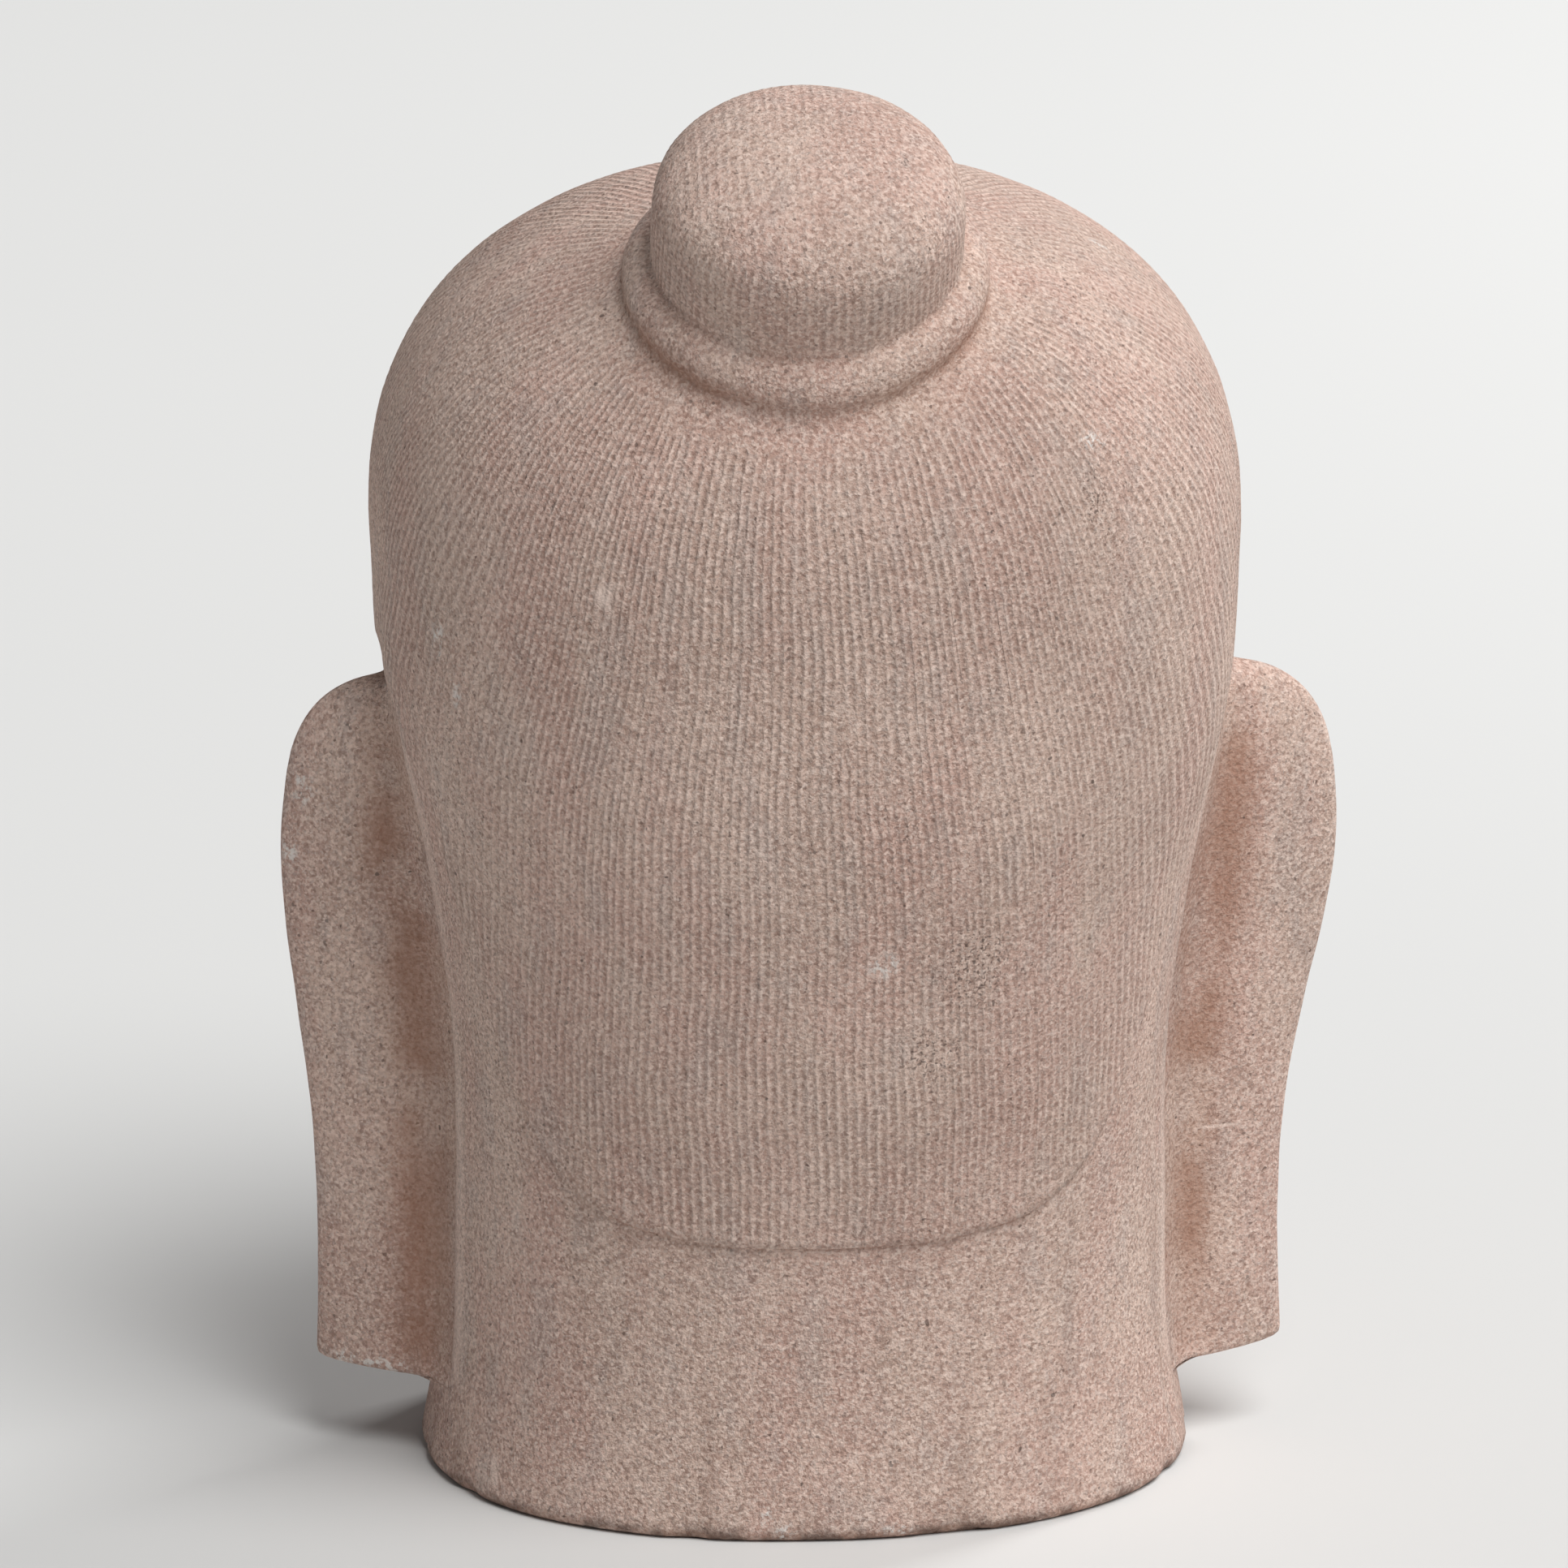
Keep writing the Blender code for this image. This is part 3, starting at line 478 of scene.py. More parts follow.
def from_axis(azimuth, forward):
    """Directions straight away from the topknot's axis."""
    return np.sin(azimuth)[..., None] * np.array([1.0, 0, 0]) + np.cos(azimuth)[..., None] * forward


def hair_height(azimuth, radius):
    """Height along the topknot's axis at which the hair lies, found by halving."""
    seat, axis, forward = knot_frame()
    flat = seat + radius[..., None] * from_axis(azimuth, forward)
    low = np.full(azimuth.shape, -2 * KNOT_RADIUS)
    high = np.full(azimuth.shape, KNOT_RADIUS)
    for _ in range(40):
        middle = (low + high) / 2
        x, y, z = np.moveaxis(flat + middle[..., None] * axis, -1, 0)
        around = np.arctan2(x, -y)
        surface = head_radius(around, z) + hair_step(around) * dome_share(z)
        inside = (np.hypot(x, y) < surface) & (z < WIDEST_LEVEL + DOME_RISE)
        low = np.where(inside, middle, low)
        high = np.where(inside, high, middle)
    return low


def knot_point(azimuth, t):
    """Point of the topknot and its roll. t runs from 0 at the top to 1 where the roll meets the hair.

    A full half oval is its crown, a straight wall stands under it, and the roll lies on the hair round
    its foot.
    """
    seat, axis, forward = knot_frame()
    crown_end, wall_end = 0.45, 0.66
    crown = KNOT_HEIGHT - KNOT_CROWN
    dome = np.clip(t / crown_end, 0, 1) * math.pi / 2
    roll = ROLL_RADIUS - KNOT_RADIUS
    radius_foot = through(
        t,
        [
            (wall_end, KNOT_RADIUS),
            (0.70, KNOT_RADIUS + 0.05 * roll),
            (0.75, KNOT_RADIUS + 0.35 * roll),
            (0.81, KNOT_RADIUS + 0.80 * roll),
            (0.87, ROLL_RADIUS),
            (0.93, ROLL_RADIUS - 0.04 * roll),
            (0.965, ROLL_RADIUS + 0.25 * ROLL_FILLET),
            (1.00, ROLL_RADIUS + ROLL_FILLET),
        ],
    )
    height_foot = ROLL_HEIGHT * through(
        t,
        [
            (wall_end, 1.16),
            (0.70, 1.03),
            (0.75, 1.03),
            (0.81, 0.88),
            (0.87, 0.52),
            (0.93, 0.19),
            (0.965, 0.05),
            (1.00, 0.0),
        ],
    )
    fullness = 2 / KNOT_FULLNESS
    radius = np.where(t < wall_end, KNOT_RADIUS, radius_foot) * np.sin(dome) ** fullness
    foot = hair_height(azimuth, radius_foot) + height_foot
    down = np.clip((t - crown_end) / (wall_end - crown_end), 0, 1)
    height = crown + (foot - crown) * down + KNOT_CROWN * np.abs(np.cos(dome)) ** fullness
    return seat + radius[..., None] * from_axis(azimuth, forward) + height[..., None] * axis


def hair_point(azimuth, t):
    """Point of the hair. t runs from 0 at the roll to 1 at the hairline, along an arc over the dome."""
    start = knot_point(azimuth, np.ones_like(azimuth))
    rise = np.clip((start[..., 2] - WIDEST_LEVEL) / DOME_RISE, -1, 1)
    around = np.arctan2(start[..., 0], -start[..., 1])
    level = np.sqrt(1 - rise**2)
    first = np.stack([level * np.sin(around), -level * np.cos(around), rise], axis=-1)
    end_rise = np.clip((hairline_level(azimuth) - WIDEST_LEVEL) / DOME_RISE, -4.0, 1)
    end_flat = np.sqrt(1 - np.clip(end_rise, 0, 1) ** 2)
    last = np.stack([end_flat * np.sin(azimuth), -end_flat * np.cos(azimuth), end_rise], axis=-1)
    way = first + (last - first) * t[..., None]
    length = np.linalg.norm(way, axis=-1)
    upward = np.where(way[..., 2] > 0, way[..., 2] / length, way[..., 2])
    z = WIDEST_LEVEL + DOME_RISE * upward
    turned = np.arctan2(way[..., 0], -way[..., 1])
    return head_point(turned, z, hair_step(turned) * dome_share(z))


def corner_depth(share, corner):
    """Depth below an ear's top, or height over its foot, at which its rim has this share of its reach."""
    return corner * (EAR_TOP_LEVEL - EAR_BOTTOM_LEVEL) * (1 - arc(share, EAR_FULLNESS))


def skin_level(azimuth, t):
    """Level of a row of the skin. t runs from 0 at the hairline to 1 at the worn edge of the cut.

    The rows lie closest together where the ears begin and end, and over the face. They slant with the
    hairline, but run level across the ears.
    """
    share = np.sin(np.linspace(0, math.pi / 2, EAR_END_ROWS)) ** (2 / EAR_FULLNESS)
    apart = LEAST_ROW_GAP * np.arange(EAR_END_ROWS)
    top = EAR_TOP_LEVEL - np.maximum(corner_depth(share, EAR_TOP_CORNER), apart)
    foot = EAR_BOTTOM_LEVEL + np.maximum(corner_depth(share, EAR_FOOT_CORNER), apart)[::-1]
    over = EAR_TOP_LEVEL + 0.06 * (EAR_HAIRLINE_LEVEL - EAR_TOP_LEVEL)
    levels = np.concatenate([[EAR_HAIRLINE_LEVEL, over], top, foot, [NECK_EDGE_ROUND]])
    at_top = np.linspace(0.05, 0.20, EAR_END_ROWS)
    at_foot = np.linspace(0.87, 0.95, EAR_END_ROWS)
    places = np.concatenate([[0, 0.045], at_top, at_foot, [1]])
    shares = (levels - NECK_EDGE_ROUND) / (EAR_HAIRLINE_LEVEL - NECK_EDGE_ROUND)
    hairline = hairline_level(azimuth)
    slanted = NECK_EDGE_ROUND + (hairline - NECK_EDGE_ROUND) * np.interp(t, places, shares)
    rise = (hairline - EAR_HAIRLINE_LEVEL) * np.clip(1 - t / places[1], 0, 1)
    straight = np.interp(t, places, levels) + rise
    turned = np.degrees(np.abs(azimuth))
    beside_ear = ease(70, 77, turned) * (1 - ease(98, 104, turned))
    return slanted + (straight - slanted) * beside_ear


def skin_column(share):
    """Azimuth of a skin column, its turn in an ear (-1 to 1) or NaN, and its side of the head.

    Most columns go to the front of the face and to the ears.
    """
    signed = (share + 0.5) % 1.0 - 0.5
    side = np.where(signed < 0, -1.0, 1.0)
    far = np.abs(signed)
    shares = [0.0, 0.18, 0.24, 0.36, 0.395, 0.5]
    behind = EAR_ROOT_BACK + math.radians(9)
    angles = [0.0, math.radians(50), EAR_ROOT_FRONT, EAR_ROOT_BACK, behind, math.pi]
    azimuth = np.interp(far, shares, angles)
    begin, end = shares[2], shares[3]
    turn = np.where((far > begin) & (far < end), 2 * (far - begin) / (end - begin) - 1, np.nan)
    return side * azimuth, turn, side


def skin_point(share, t):
    """Point of the face, ears or neck."""
    azimuth, turn, side = skin_column(share)
    z = skin_level(azimuth, np.maximum(t, HAIR_EDGE_SHARE))
    plain = head_point(azimuth, z, 0.0 * z)
    folded = ear_point(np.nan_to_num(turn), z, side)
    return np.where(np.isnan(turn)[..., None], plain, folded)


def grid_faces(rows, columns, first):
    """Quads of a closed band: each corner's row and column on a grid that wraps round."""
    i, j = np.meshgrid(np.arange(rows - 1), np.arange(columns), indexing="ij")
    k = (j + 1) % columns
    upper, lower = i * columns, (i + 1) * columns
    quads = np.stack([upper + j, lower + j, lower + k, upper + k], axis=-1)
    return first + quads.reshape(-1, 4)


def seam_faces(upper, upper_turn, lower, lower_turn):
    """Triangles between two closed loops of any number of points, taken in the order of their turns."""
    turn = np.concatenate([upper_turn, lower_turn])
    from_upper = np.concatenate([np.ones(len(upper), bool), np.zeros(len(lower), bool)])
    order = np.lexsort([from_upper, turn])
    from_upper = from_upper[order]
    seen_upper = np.cumsum(from_upper) - 1
    seen_lower = np.cumsum(~from_upper) - 1
    a = upper[seen_upper % len(upper)]
    b = lower[seen_lower % len(lower)]
    before_a = upper[(seen_upper - 1) % len(upper)]
    before_b = lower[(seen_lower - 1) % len(lower)]
    return np.where(from_upper[:, None], np.stack([before_a, b, a], -1), np.stack([a, before_b, b], -1))


def line_wave(u, v, lines, x):
    """Height of the comb chisel's lines, from -1 in a groove to 1 on a ridge.

    u is the share of the turn, v the way down, and lines how many lines there is room for round the whole
    head at this place. The count steps through LINE_COUNTS, and every line wavers a little on its way.
    Over the top of the topknot the lines lie side by side, LINE_SPACING apart along x.
    """
    waver = LONG_WAVER * np.sin(2 * math.pi * (3 * v + 2 * u))
    waver = waver + SHORT_WAVER * np.sin(2 * math.pi * (9 * v - 5 * u))
    begun = [ease(0.96 * step, 1.04 * step, lines) for step in LINE_STEPS]
    weights = [1 - begun[0]] + [a * (1 - b) for a, b in zip(begun, begun[1:])] + [begun[-1]]
    fanned = sum(w * np.cos(2 * math.pi * (n * u + waver)) for w, n in zip(weights, LINE_COUNTS))
    beside = np.cos(2 * math.pi * (x / LINE_SPACING + waver))
    return beside + (fanned - beside) * ease(*FAN_BEGINS, v)


def carve_head(size):
    """Places, faces, texture corners and vertex values of the whole skin.

    size holds the depth of the comb's lines, the height of the crest beside the ears, the
    unevenness of the hand and the depth of the chips.
    """
    # topknot and roll
    turn_k = np.arange(KNOT_COLUMNS) / KNOT_COLUMNS
    crown, wall, roll = np.linspace(0.035, 0.45, 12), np.linspace(0.48, 0.63, 5), np.linspace(0.66, 1.0, 13)
    row_k = np.concatenate([crown, wall, roll])
    u, v = np.meshgrid(turn_k, row_k)
    knot = knot_point(2 * math.pi * u, v)
    room = np.linalg.norm(np.roll(knot, -1, axis=1) - np.roll(knot, 1, axis=1), axis=-1) / 2
    knot_lines = np.clip(room * KNOT_COLUMNS / LINE_SPACING, 20.0, 110.0)
    knot_comb = (0.45 + 0.35 * ease(0.3, 0.5, v)) * (1 - ease(0.64, 0.69, v))
    # painted shade, with some brown stain, in the groove between the wall and the roll and under the roll
    knot_stain_and_shade = 0.25 * bell(v - 0.70, 0.02) + 0.8 * bell(v - 0.91, 0.05)
    parts = [(knot, u, 0.35 * (v - 1.0), knot_comb, knot_lines, knot_stain_and_shade)]

    # hair
    turn_h = np.arange(HAIR_COLUMNS) / HAIR_COLUMNS
    row_h = np.concatenate([[0.012], np.linspace(0.035, 0.93, HAIR_ROWS - 5), [0.955, 0.975, 0.99, 1.0]])
    u, v = np.meshgrid(turn_h, row_h)
    hair = hair_point(2 * math.pi * ((u + 0.5) % 1.0 - 0.5), v)
    room = np.linalg.norm(np.roll(hair, -1, axis=1) - np.roll(hair, 1, axis=1), axis=-1) / 2
    patch = np.random.default_rng(5).uniform(0.90, 1.12, 40)[(u * 40).astype(int)]
    hair_lines = room * HAIR_COLUMNS / LINE_SPACING * patch
    hair_comb = ease(0.0, 0.05, v) * (1 - ease(0.985, 1.0, v))
    # painted shade, with some brown stain, on the hair just under the roll
    hair_stain_and_shade = 0.45 * (1 - ease(0.0, 0.02, v))
    parts.append((hair, u, v, hair_comb, np.clip(hair_lines, 130.0, 300.0), hair_stain_and_shade))

    # face, ears and neck
    turn_s = np.arange(SKIN_COLUMNS) / SKIN_COLUMNS
    counted = np.cumsum([0] + SKIN_ROW_COUNTS)
    row_s = np.interp(np.arange(counted[-1] + 1), counted, SKIN_ROW_STATIONS)
    u, v = np.meshgrid(turn_s, row_s)
    skin = skin_point(u, v)
    from_root = np.degrees(np.abs(skin_column(u)[0]) - EAR_ROOT_BACK)
    beside_ear = ease(EAR_BOTTOM_LEVEL - 0.004, EAR_BOTTOM_LEVEL + 0.010, skin[..., 2])
    beside_ear = beside_ear * (1 - ease(EAR_TOP_LEVEL - 0.012, EAR_TOP_LEVEL, skin[..., 2]))
    valley = bell(from_root + 1.3, 1.5) * beside_ear
    # the crest is also painted lighter in the material, a painted highlight on this convex ridge
    crest = bell(from_root - 3.2, 2.6) * beside_ear
    # painted shade, with some brown stain, in the valley where each ear joins the head, and a painted shadow
    # just under the hair's edge
    skin_stain_and_shade = 0.9 * valley + 1.0 * (1 - ease(0.002, 0.014, v))
    parts.append((skin, u, v + 1.0, 0.55 * crest - 0.9 * valley, 0 * v, skin_stain_and_shade))

    # worn edge and flat cut
    edge_ring = skin[-1]
    rings = []
    for turned in (0.33, 0.67, 1.0):
        inset = NECK_EDGE_ROUND * (1 - math.cos(turned * math.pi / 2))
        level = NECK_EDGE_ROUND * (1 - math.sin(turned * math.pi / 2))
        radius = np.hypot(edge_ring[:, 0], edge_ring[:, 1])
        flat = edge_ring * np.array([1, 1, 0]) * (1 - inset / radius)[:, None]
        rings.append(flat + np.array([0, 0, level]))
    for share in (0.92, 0.6, 0.25):
        rings.append(rings[2] * share)
    cut = np.array(rings)
    u, v = np.meshgrid(turn_s, np.arange(len(rings)) / 10 + 2.0)
    # the flat cut gets 0.6 of the painted shade and stain value all over
    parts.append((cut, u, v, 0 * v, 0 * v, 0 * v + 0.6))

    place = np.concatenate([p[0].reshape(-1, 3) for p in parts] + [knot_top(), np.zeros((1, 3))])
    columns = [np.concatenate([p[k].ravel() for p in parts] + [[0.0, 0.0]]) for k in range(1, 6)]
    u, v, comb, lines, stain_and_shade = columns

    sizes = [p[1].size for p in parts]
    first = np.concatenate([[0], np.cumsum(sizes)])
    bands = [grid_faces(*p[1].shape, f) for p, f in zip(parts, first)]
    last = [np.arange(f + n - p[1].shape[1], f + n) for p, f, n in zip(parts, first, sizes)]
    begin = [np.arange(f, f + p[1].shape[1]) for p, f in zip(parts, first)]
    top_pole, bottom_pole = first[4], first[4] + 1
    k = np.arange(KNOT_COLUMNS)
    s = np.arange(SKIN_COLUMNS)
    triangles = [
        np.stack([np.full(KNOT_COLUMNS, top_pole), begin[0][k], begin[0][(k + 1) % KNOT_COLUMNS]], -1),
        seam_faces(last[0], turn_k, begin[1], turn_h),
        seam_faces(last[1], turn_h, begin[2], skin_turn(turn_s)),
        np.stack([last[3][s], np.full(SKIN_COLUMNS, bottom_pole), last[3][(s + 1) % SKIN_COLUMNS]], -1),
    ]
    joint = np.stack([last[2], begin[3], np.roll(begin[3], -1), np.roll(last[2], -1)], -1)
    quads = np.concatenate(bands + [joint])
    triangles = np.concatenate(triangles)
    normal = point_normals(place, quads, triangles)
    place = place + normal * surface_relief(place, u, v, comb, lines, size)[:, None]
    return place, quads, triangles, u, v, comb, lines, stain_and_shade


def skin_turn(turn):
    """Share of the even turn at which a skin column stands, for joining it to the evenly spread hair."""
    azimuth = skin_column(turn)[0]
    return (azimuth / (2 * math.pi)) % 1.0


def knot_top():
    """The highest point of the topknot on its axis."""
    return knot_point(np.zeros(1), np.zeros(1))


def point_normals(place, quads, triangles):
    """Outward normal at each point: the sum of its faces' normals, made one long."""
    normal = np.zeros_like(place)
    across = np.cross(place[quads[:, 2]] - place[quads[:, 0]], place[quads[:, 3]] - place[quads[:, 1]])
    for k in range(4):
        np.add.at(normal, quads[:, k], across)
    a, b, c = (place[triangles[:, k]] for k in range(3))
    across = np.cross(b - a, c - a)
    for k in range(3):
        np.add.at(normal, triangles[:, k], across)
    return normal / np.maximum(np.linalg.norm(normal, axis=1), 1e-12)[:, None]


def surface_relief(place, u, v, comb, lines, size):
    """Height added along the normal: comb lines, the unevenness of the hand, and chips along the cut.

    Where there is no room for lines, comb is the crest and groove where an ear joins the head. The
    unevenness fades out at the ends of the ears, where the rows lie closest together.
    """
    strength = 0.80 + 0.40 * ripple(place, 0.045, 21)
    combed = np.where(lines > 0, comb, 0.0)
    cut = size["depth"] / 2 * line_wave(u, v, lines, place[:, 0]) * combed * np.clip(strength, 0.25, 1.15)
    fold = size["fold"] * np.where(lines > 0, 0.0, comb)
    hand = size["hand"] * (ripple(place, 0.055, 3) + 0.5 * ripple(place, 0.022, 4)) * 0.5
    z = place[:, 2]
    low = 1 - ease(0.002, 0.009, z)
    chips = -size["chips"] * low * np.clip(ripple(place, 0.018, 8) - 0.25, 0, 1)
    from_ear_end = np.minimum(np.abs(z - EAR_TOP_LEVEL), np.abs(z - EAR_BOTTOM_LEVEL))
    hand = hand * np.where(lines > 0, 1.0, ease(0.0006, 0.0040, from_ear_end))
    flat = z < 1e-6
    return np.where(flat, 0.0, cut + fold + hand + chips)


class Signal:
    """A socket that carries a value, with Python's arithmetic written as Math nodes."""

    def __init__(self, shader, socket):
        self.shader = shader
        self.socket = socket

    def maths(self, operation, *values):
        return self.shader.node("ShaderNodeMath", {"operation": operation}, dict(enumerate(values)))

    def __add__(self, other):
        return self.maths("ADD", self, other)

    __radd__ = __add__

    def __sub__(self, other):
        return self.maths("SUBTRACT", self, other)

    def __rsub__(self, other):
        return self.maths("SUBTRACT", other, self)

    def __mul__(self, other):
        return self.maths("MULTIPLY", self, other)

    __rmul__ = __mul__

    def __pow__(self, other):
        return self.maths("POWER", self, other)

    def cosine(self):
        return self.maths("COSINE", self)

    def sine(self):
        return self.maths("SINE", self)

    def between(self, low, high):
        """0 below low and 1 above high, or the other way round, with a smooth S between them."""
        sockets = {"Value": self, "From Min": low, "From Max": high}
        return self.shader.node("ShaderNodeMapRange", {"interpolation_type": "SMOOTHSTEP"}, sockets)


class Shader:
    """A material's nodes, added one at a time."""

    def __init__(self, name):
        self.material = bpy.data.materials.new(name)
        self.material.use_nodes = True
        self.tree = self.material.node_tree
        self.surface = self.tree.nodes["Principled BSDF"]

    def node(self, kind, settings, sockets, out=0):
        """Adds a node: its settings first, then the values or links of its sockets."""
        node = self.tree.nodes.new(kind)
        for name, value in settings.items():
            setattr(node, name, value)
        self.feed(node, sockets)
        return Signal(self, node.outputs[out])

    def feed(self, node, sockets):
        """Sets or links each named or numbered input of a node."""
        for key, value in sockets.items():
            if isinstance(value, Signal):
                self.tree.links.new(value.socket, node.inputs[key])
            else:
                node.inputs[key].default_value = value

    def noise(self, place, scale, detail=2.0, roughness=0.5):
        """Smooth noise from 0 to 1 with this many features to the metre."""
        sockets = {"Vector": place, "Scale": scale, "Detail": detail, "Roughness": roughness}
        return self.node("ShaderNodeTexNoise", {}, sockets)

    def stretched(self, place, scales):
        """The place with each axis multiplied by its own scale."""
        return self.node("ShaderNodeVectorMath", {"operation": "MULTIPLY"}, {0: place, 1: scales})

    def mix(self, factor, first, second, blend="MIX"):
        """The second colour laid over the first by a factor."""
        settings = {"data_type": "RGBA", "blend_type": blend, "clamp_factor": True}
        return self.node("ShaderNodeMix", settings, {0: factor, 6: first, 7: second}, 2)

    def axis(self, place, k):
        """One coordinate of a place."""
        return self.node("ShaderNodeSeparateXYZ", {}, {0: place}, k)

    def value(self, name):
        """A vertex value by its name."""
        return self.node("ShaderNodeAttribute", {"attribute_name": name}, {}, "Fac")


def colour(rgb):
    """A colour with full opacity."""
    return (*rgb, 1.0)


def spots(shader, place, centres):
    """1 inside any of the oval places (centre, radii along the axes), fading to 0 at their edges."""
    total = 0.0
    for centre, radii in centres:
        away = shader.node("ShaderNodeVectorMath", {"operation": "SUBTRACT"}, {0: place, 1: centre})
        shares = shader.stretched(away, tuple(1 / radius for radius in radii))
        far = shader.node("ShaderNodeVectorMath", {"operation": "LENGTH"}, {0: shares}, "Value")
        total = far.between(1.0, 0.3) + total
    return total


def sandstone(look):
    """Pink sandstone: mottled bed, packed grains, combed grooves with painted shade and ridges with a
    painted highlight, brown stains and painted shade in the hollows, a painted highlight on the crests
    beside the ears, chalky marks and small pits.
    """
    s = Shader("pink_sandstone")
    place = s.node("ShaderNodeTexCoord", {}, {}, "Object")
    corners = s.node("ShaderNodeUVMap", {"uv_map": "carving"}, {})
    u, v, height = s.axis(corners, 0), s.axis(corners, 1), s.axis(place, 2)
    # the last of these values marks painted shade, with some brown stain, in the hollows, under the roll and
    # under the hair's edge
    lines, comb, stain_and_shade = s.value("lines"), s.value("combed"), s.value("stain_and_shade")

    # comb lines, by the same formula as line_wave
    turn = 2 * math.pi
    waver = (v * (3 * turn) + u * (2 * turn)).sine() * (LONG_WAVER * turn)
    waver = waver + (v * (9 * turn) - u * (5 * turn)).sine() * (SHORT_WAVER * turn)
    begun = [lines.between(0.96 * step, 1.04 * step) for step in LINE_STEPS]
    weights = [1 - begun[0]] + [a * (1 - b) for a, b in zip(begun, begun[1:])] + [begun[-1]]
    fanned = sum((u * (n * turn) + waver).cosine() * w for w, n in zip(weights, LINE_COUNTS))
    beside = (s.axis(place, 0) * (turn / LINE_SPACING) + waver).cosine()
    wave = beside + (fanned - beside) * v.between(*FAN_BEGINS)
    worn = s.noise(place, 24.0, 2.0).between(0.34, 0.60)
    combed = comb.between(0.0, 1.0) * lines.between(0.0, 20.0)
    kept = worn * 0.80 + 0.20
    broken = s.noise(place, 650.0, 0.0).between(0.32, 0.58)
    # painted shade in the grooves of the comb lines
    groove = (0.5 - wave * 0.5) * combed * kept * (broken * 0.6 + 0.4)
    # ridge shapes the bump and is also painted lighter, a painted highlight on the comb lines' ridges
    ridge = (wave * 0.5 + 0.5) ** 2.0 * combed

    # bed colour, in soft upright streaks and patches
    streaked = s.stretched(place, (1.0, 1.0, 0.30))
    bed = s.mix(s.noise(streaked, 42.0, 3.0, 0.6).between(0.38, 0.62), colour(look.pink), colour(look.beige))
    bed = s.mix(s.noise(streaked, 120.0, 2.0, 0.6).between(0.50, 0.70) * 0.45, bed, colour(look.grey))
    cloud = s.noise(place, 17.0, 2.0, 0.6).between(0.34, 0.66)
    bed = s.mix(cloud * 0.22, bed, colour(look.shade), "MULTIPLY")

    # grains
    grain = s.node("ShaderNodeTexVoronoi", {}, {"Vector": place, "Scale": 1 / look.grain}, "Color")
    tone, hue, rare = (s.node("ShaderNodeSeparateColor", {}, {0: grain}, k) for k in range(3))
    speckle = s.noise(place, 0.55 / look.grain, 2.0, 0.7)
    layers = [
        (tone.between(0.50, 1.0) * 0.47, look.pale),
        (tone.between(0.42, 0.0) * 0.49, look.shade),
        (hue.between(0.55, 1.0) * 0.40, look.grey),
        (hue.between(0.25, 0.0) * 0.35, look.pink),
        (speckle.between(0.52, 0.68) * 0.40, look.pale),
        (speckle.between(0.48, 0.33) * 0.47, look.shade),
        (rare.between(0.985, 0.995) * 0.5, look.dark),
    ]

    # combed grooves with painted shade, their ridges with a painted highlight, and a painted highlight on
    # the crest beside the ears, patchy by the worn noise
    crest = comb.between(0.05, 0.5) * lines.between(20.0, 0.0)
    layers += [
        (groove * 0.36, look.shade),
        (ridge * kept * 0.17, look.pale),
        (crest * (worn * 0.20 + 0.14), look.pale),
    ]

    # streaks down the neck, brown stain and painted shade in the hollows, brown stain spots, and the brown
    # edge of the cut
    runs = s.noise(s.stretched(place, (1.0, 1.0, 0.10)), 95.0, 1.0, 0.6).between(0.58, 0.74)
    patchy = s.noise(place, 45.0, 1.0).between(0.34, 0.62)
    stains = spots(s, place, STAINS) * (speckle * 0.8 + 0.1)
    rim = height.between(0.0055, 0.0008) * s.noise(place, 200.0, 1.0).between(0.36, 0.60)
    layers += [
        (runs * height.between(0.12, 0.05) * 0.26, look.shade),
        (stain_and_shade * (patchy * 0.55 + 0.20), look.brown),
        (stains * 0.26, look.brown),
        (rim * 0.55, look.dark),
    ]

    # chalky marks, scratches and clusters of pits
    chalky = spots(s, place, CHALK_MARKS) * s.noise(place, 520.0, 2.0, 0.7).between(0.47, 0.62)
    pits = spots(s, place, PIT_PATCHES) * s.noise(place, 1400.0, 0.0).between(0.62, 0.70)
    pits = pits + s.noise(place, 560.0, 0.0).between(0.845, 0.88)
    layers += [
        (chalky * 0.75, look.chalk),
        (spots(s, place, SCRATCHES) * 0.5, look.pale),
        (pits * 0.65, look.dark),
    ]
    for factor, over in layers:
        bed = s.mix(factor, bed, colour(over))

    relief = ridge * (0.22 * look.bump) + speckle * (0.75 * look.bump)
    bump = s.node("ShaderNodeBump", {}, {"Strength": 1.0, "Distance": 0.001, "Height": relief})
    rough = tone * 0.08 + (look.roughness - 0.04)
    s.feed(s.surface, {"Base Color": bed, "Roughness": rough, "Normal": bump, "Specular IOR Level": 0.2})
    return s.material


# Marks on the stone, as (centre, radii along the axes)
CHALK_MARKS = [
    ((0.0909, 0.0578, 0.2211), (0.004, 0.004, 0.006)),
    ((0.0870, 0.0633, 0.2087), (0.003, 0.003, 0.005)),
    ((-0.0617, 0.0809, 0.2724), (0.006, 0.004, 0.003)),
    ((-0.0697, 0.0127, 0.3032), (0.005, 0.004, 0.003)),
    ((0.1221, 0.0008, 0.1689), (0.004, 0.008, 0.007)),
    ((0.1254, -0.0010, 0.1521), (0.003, 0.008, 0.005)),
    ((0.1123, 0.0045, 0.0235), (0.009, 0.010, 0.0035)),
    ((0.1030, 0.0083, 0.0230), (0.008, 0.010, 0.0035)),
    ((0.0103, 0.0795, 0.0030), (0.004, 0.004, 0.0035)),
    ((0.0150, 0.0790, 0.0070), (0.002, 0.003, 0.0035)),
    ((-0.0169, 0.0790, 0.0025), (0.006, 0.004, 0.0020)),
    ((-0.0120, 0.0950, 0.1500), (0.006, 0.005, 0.005)),
]
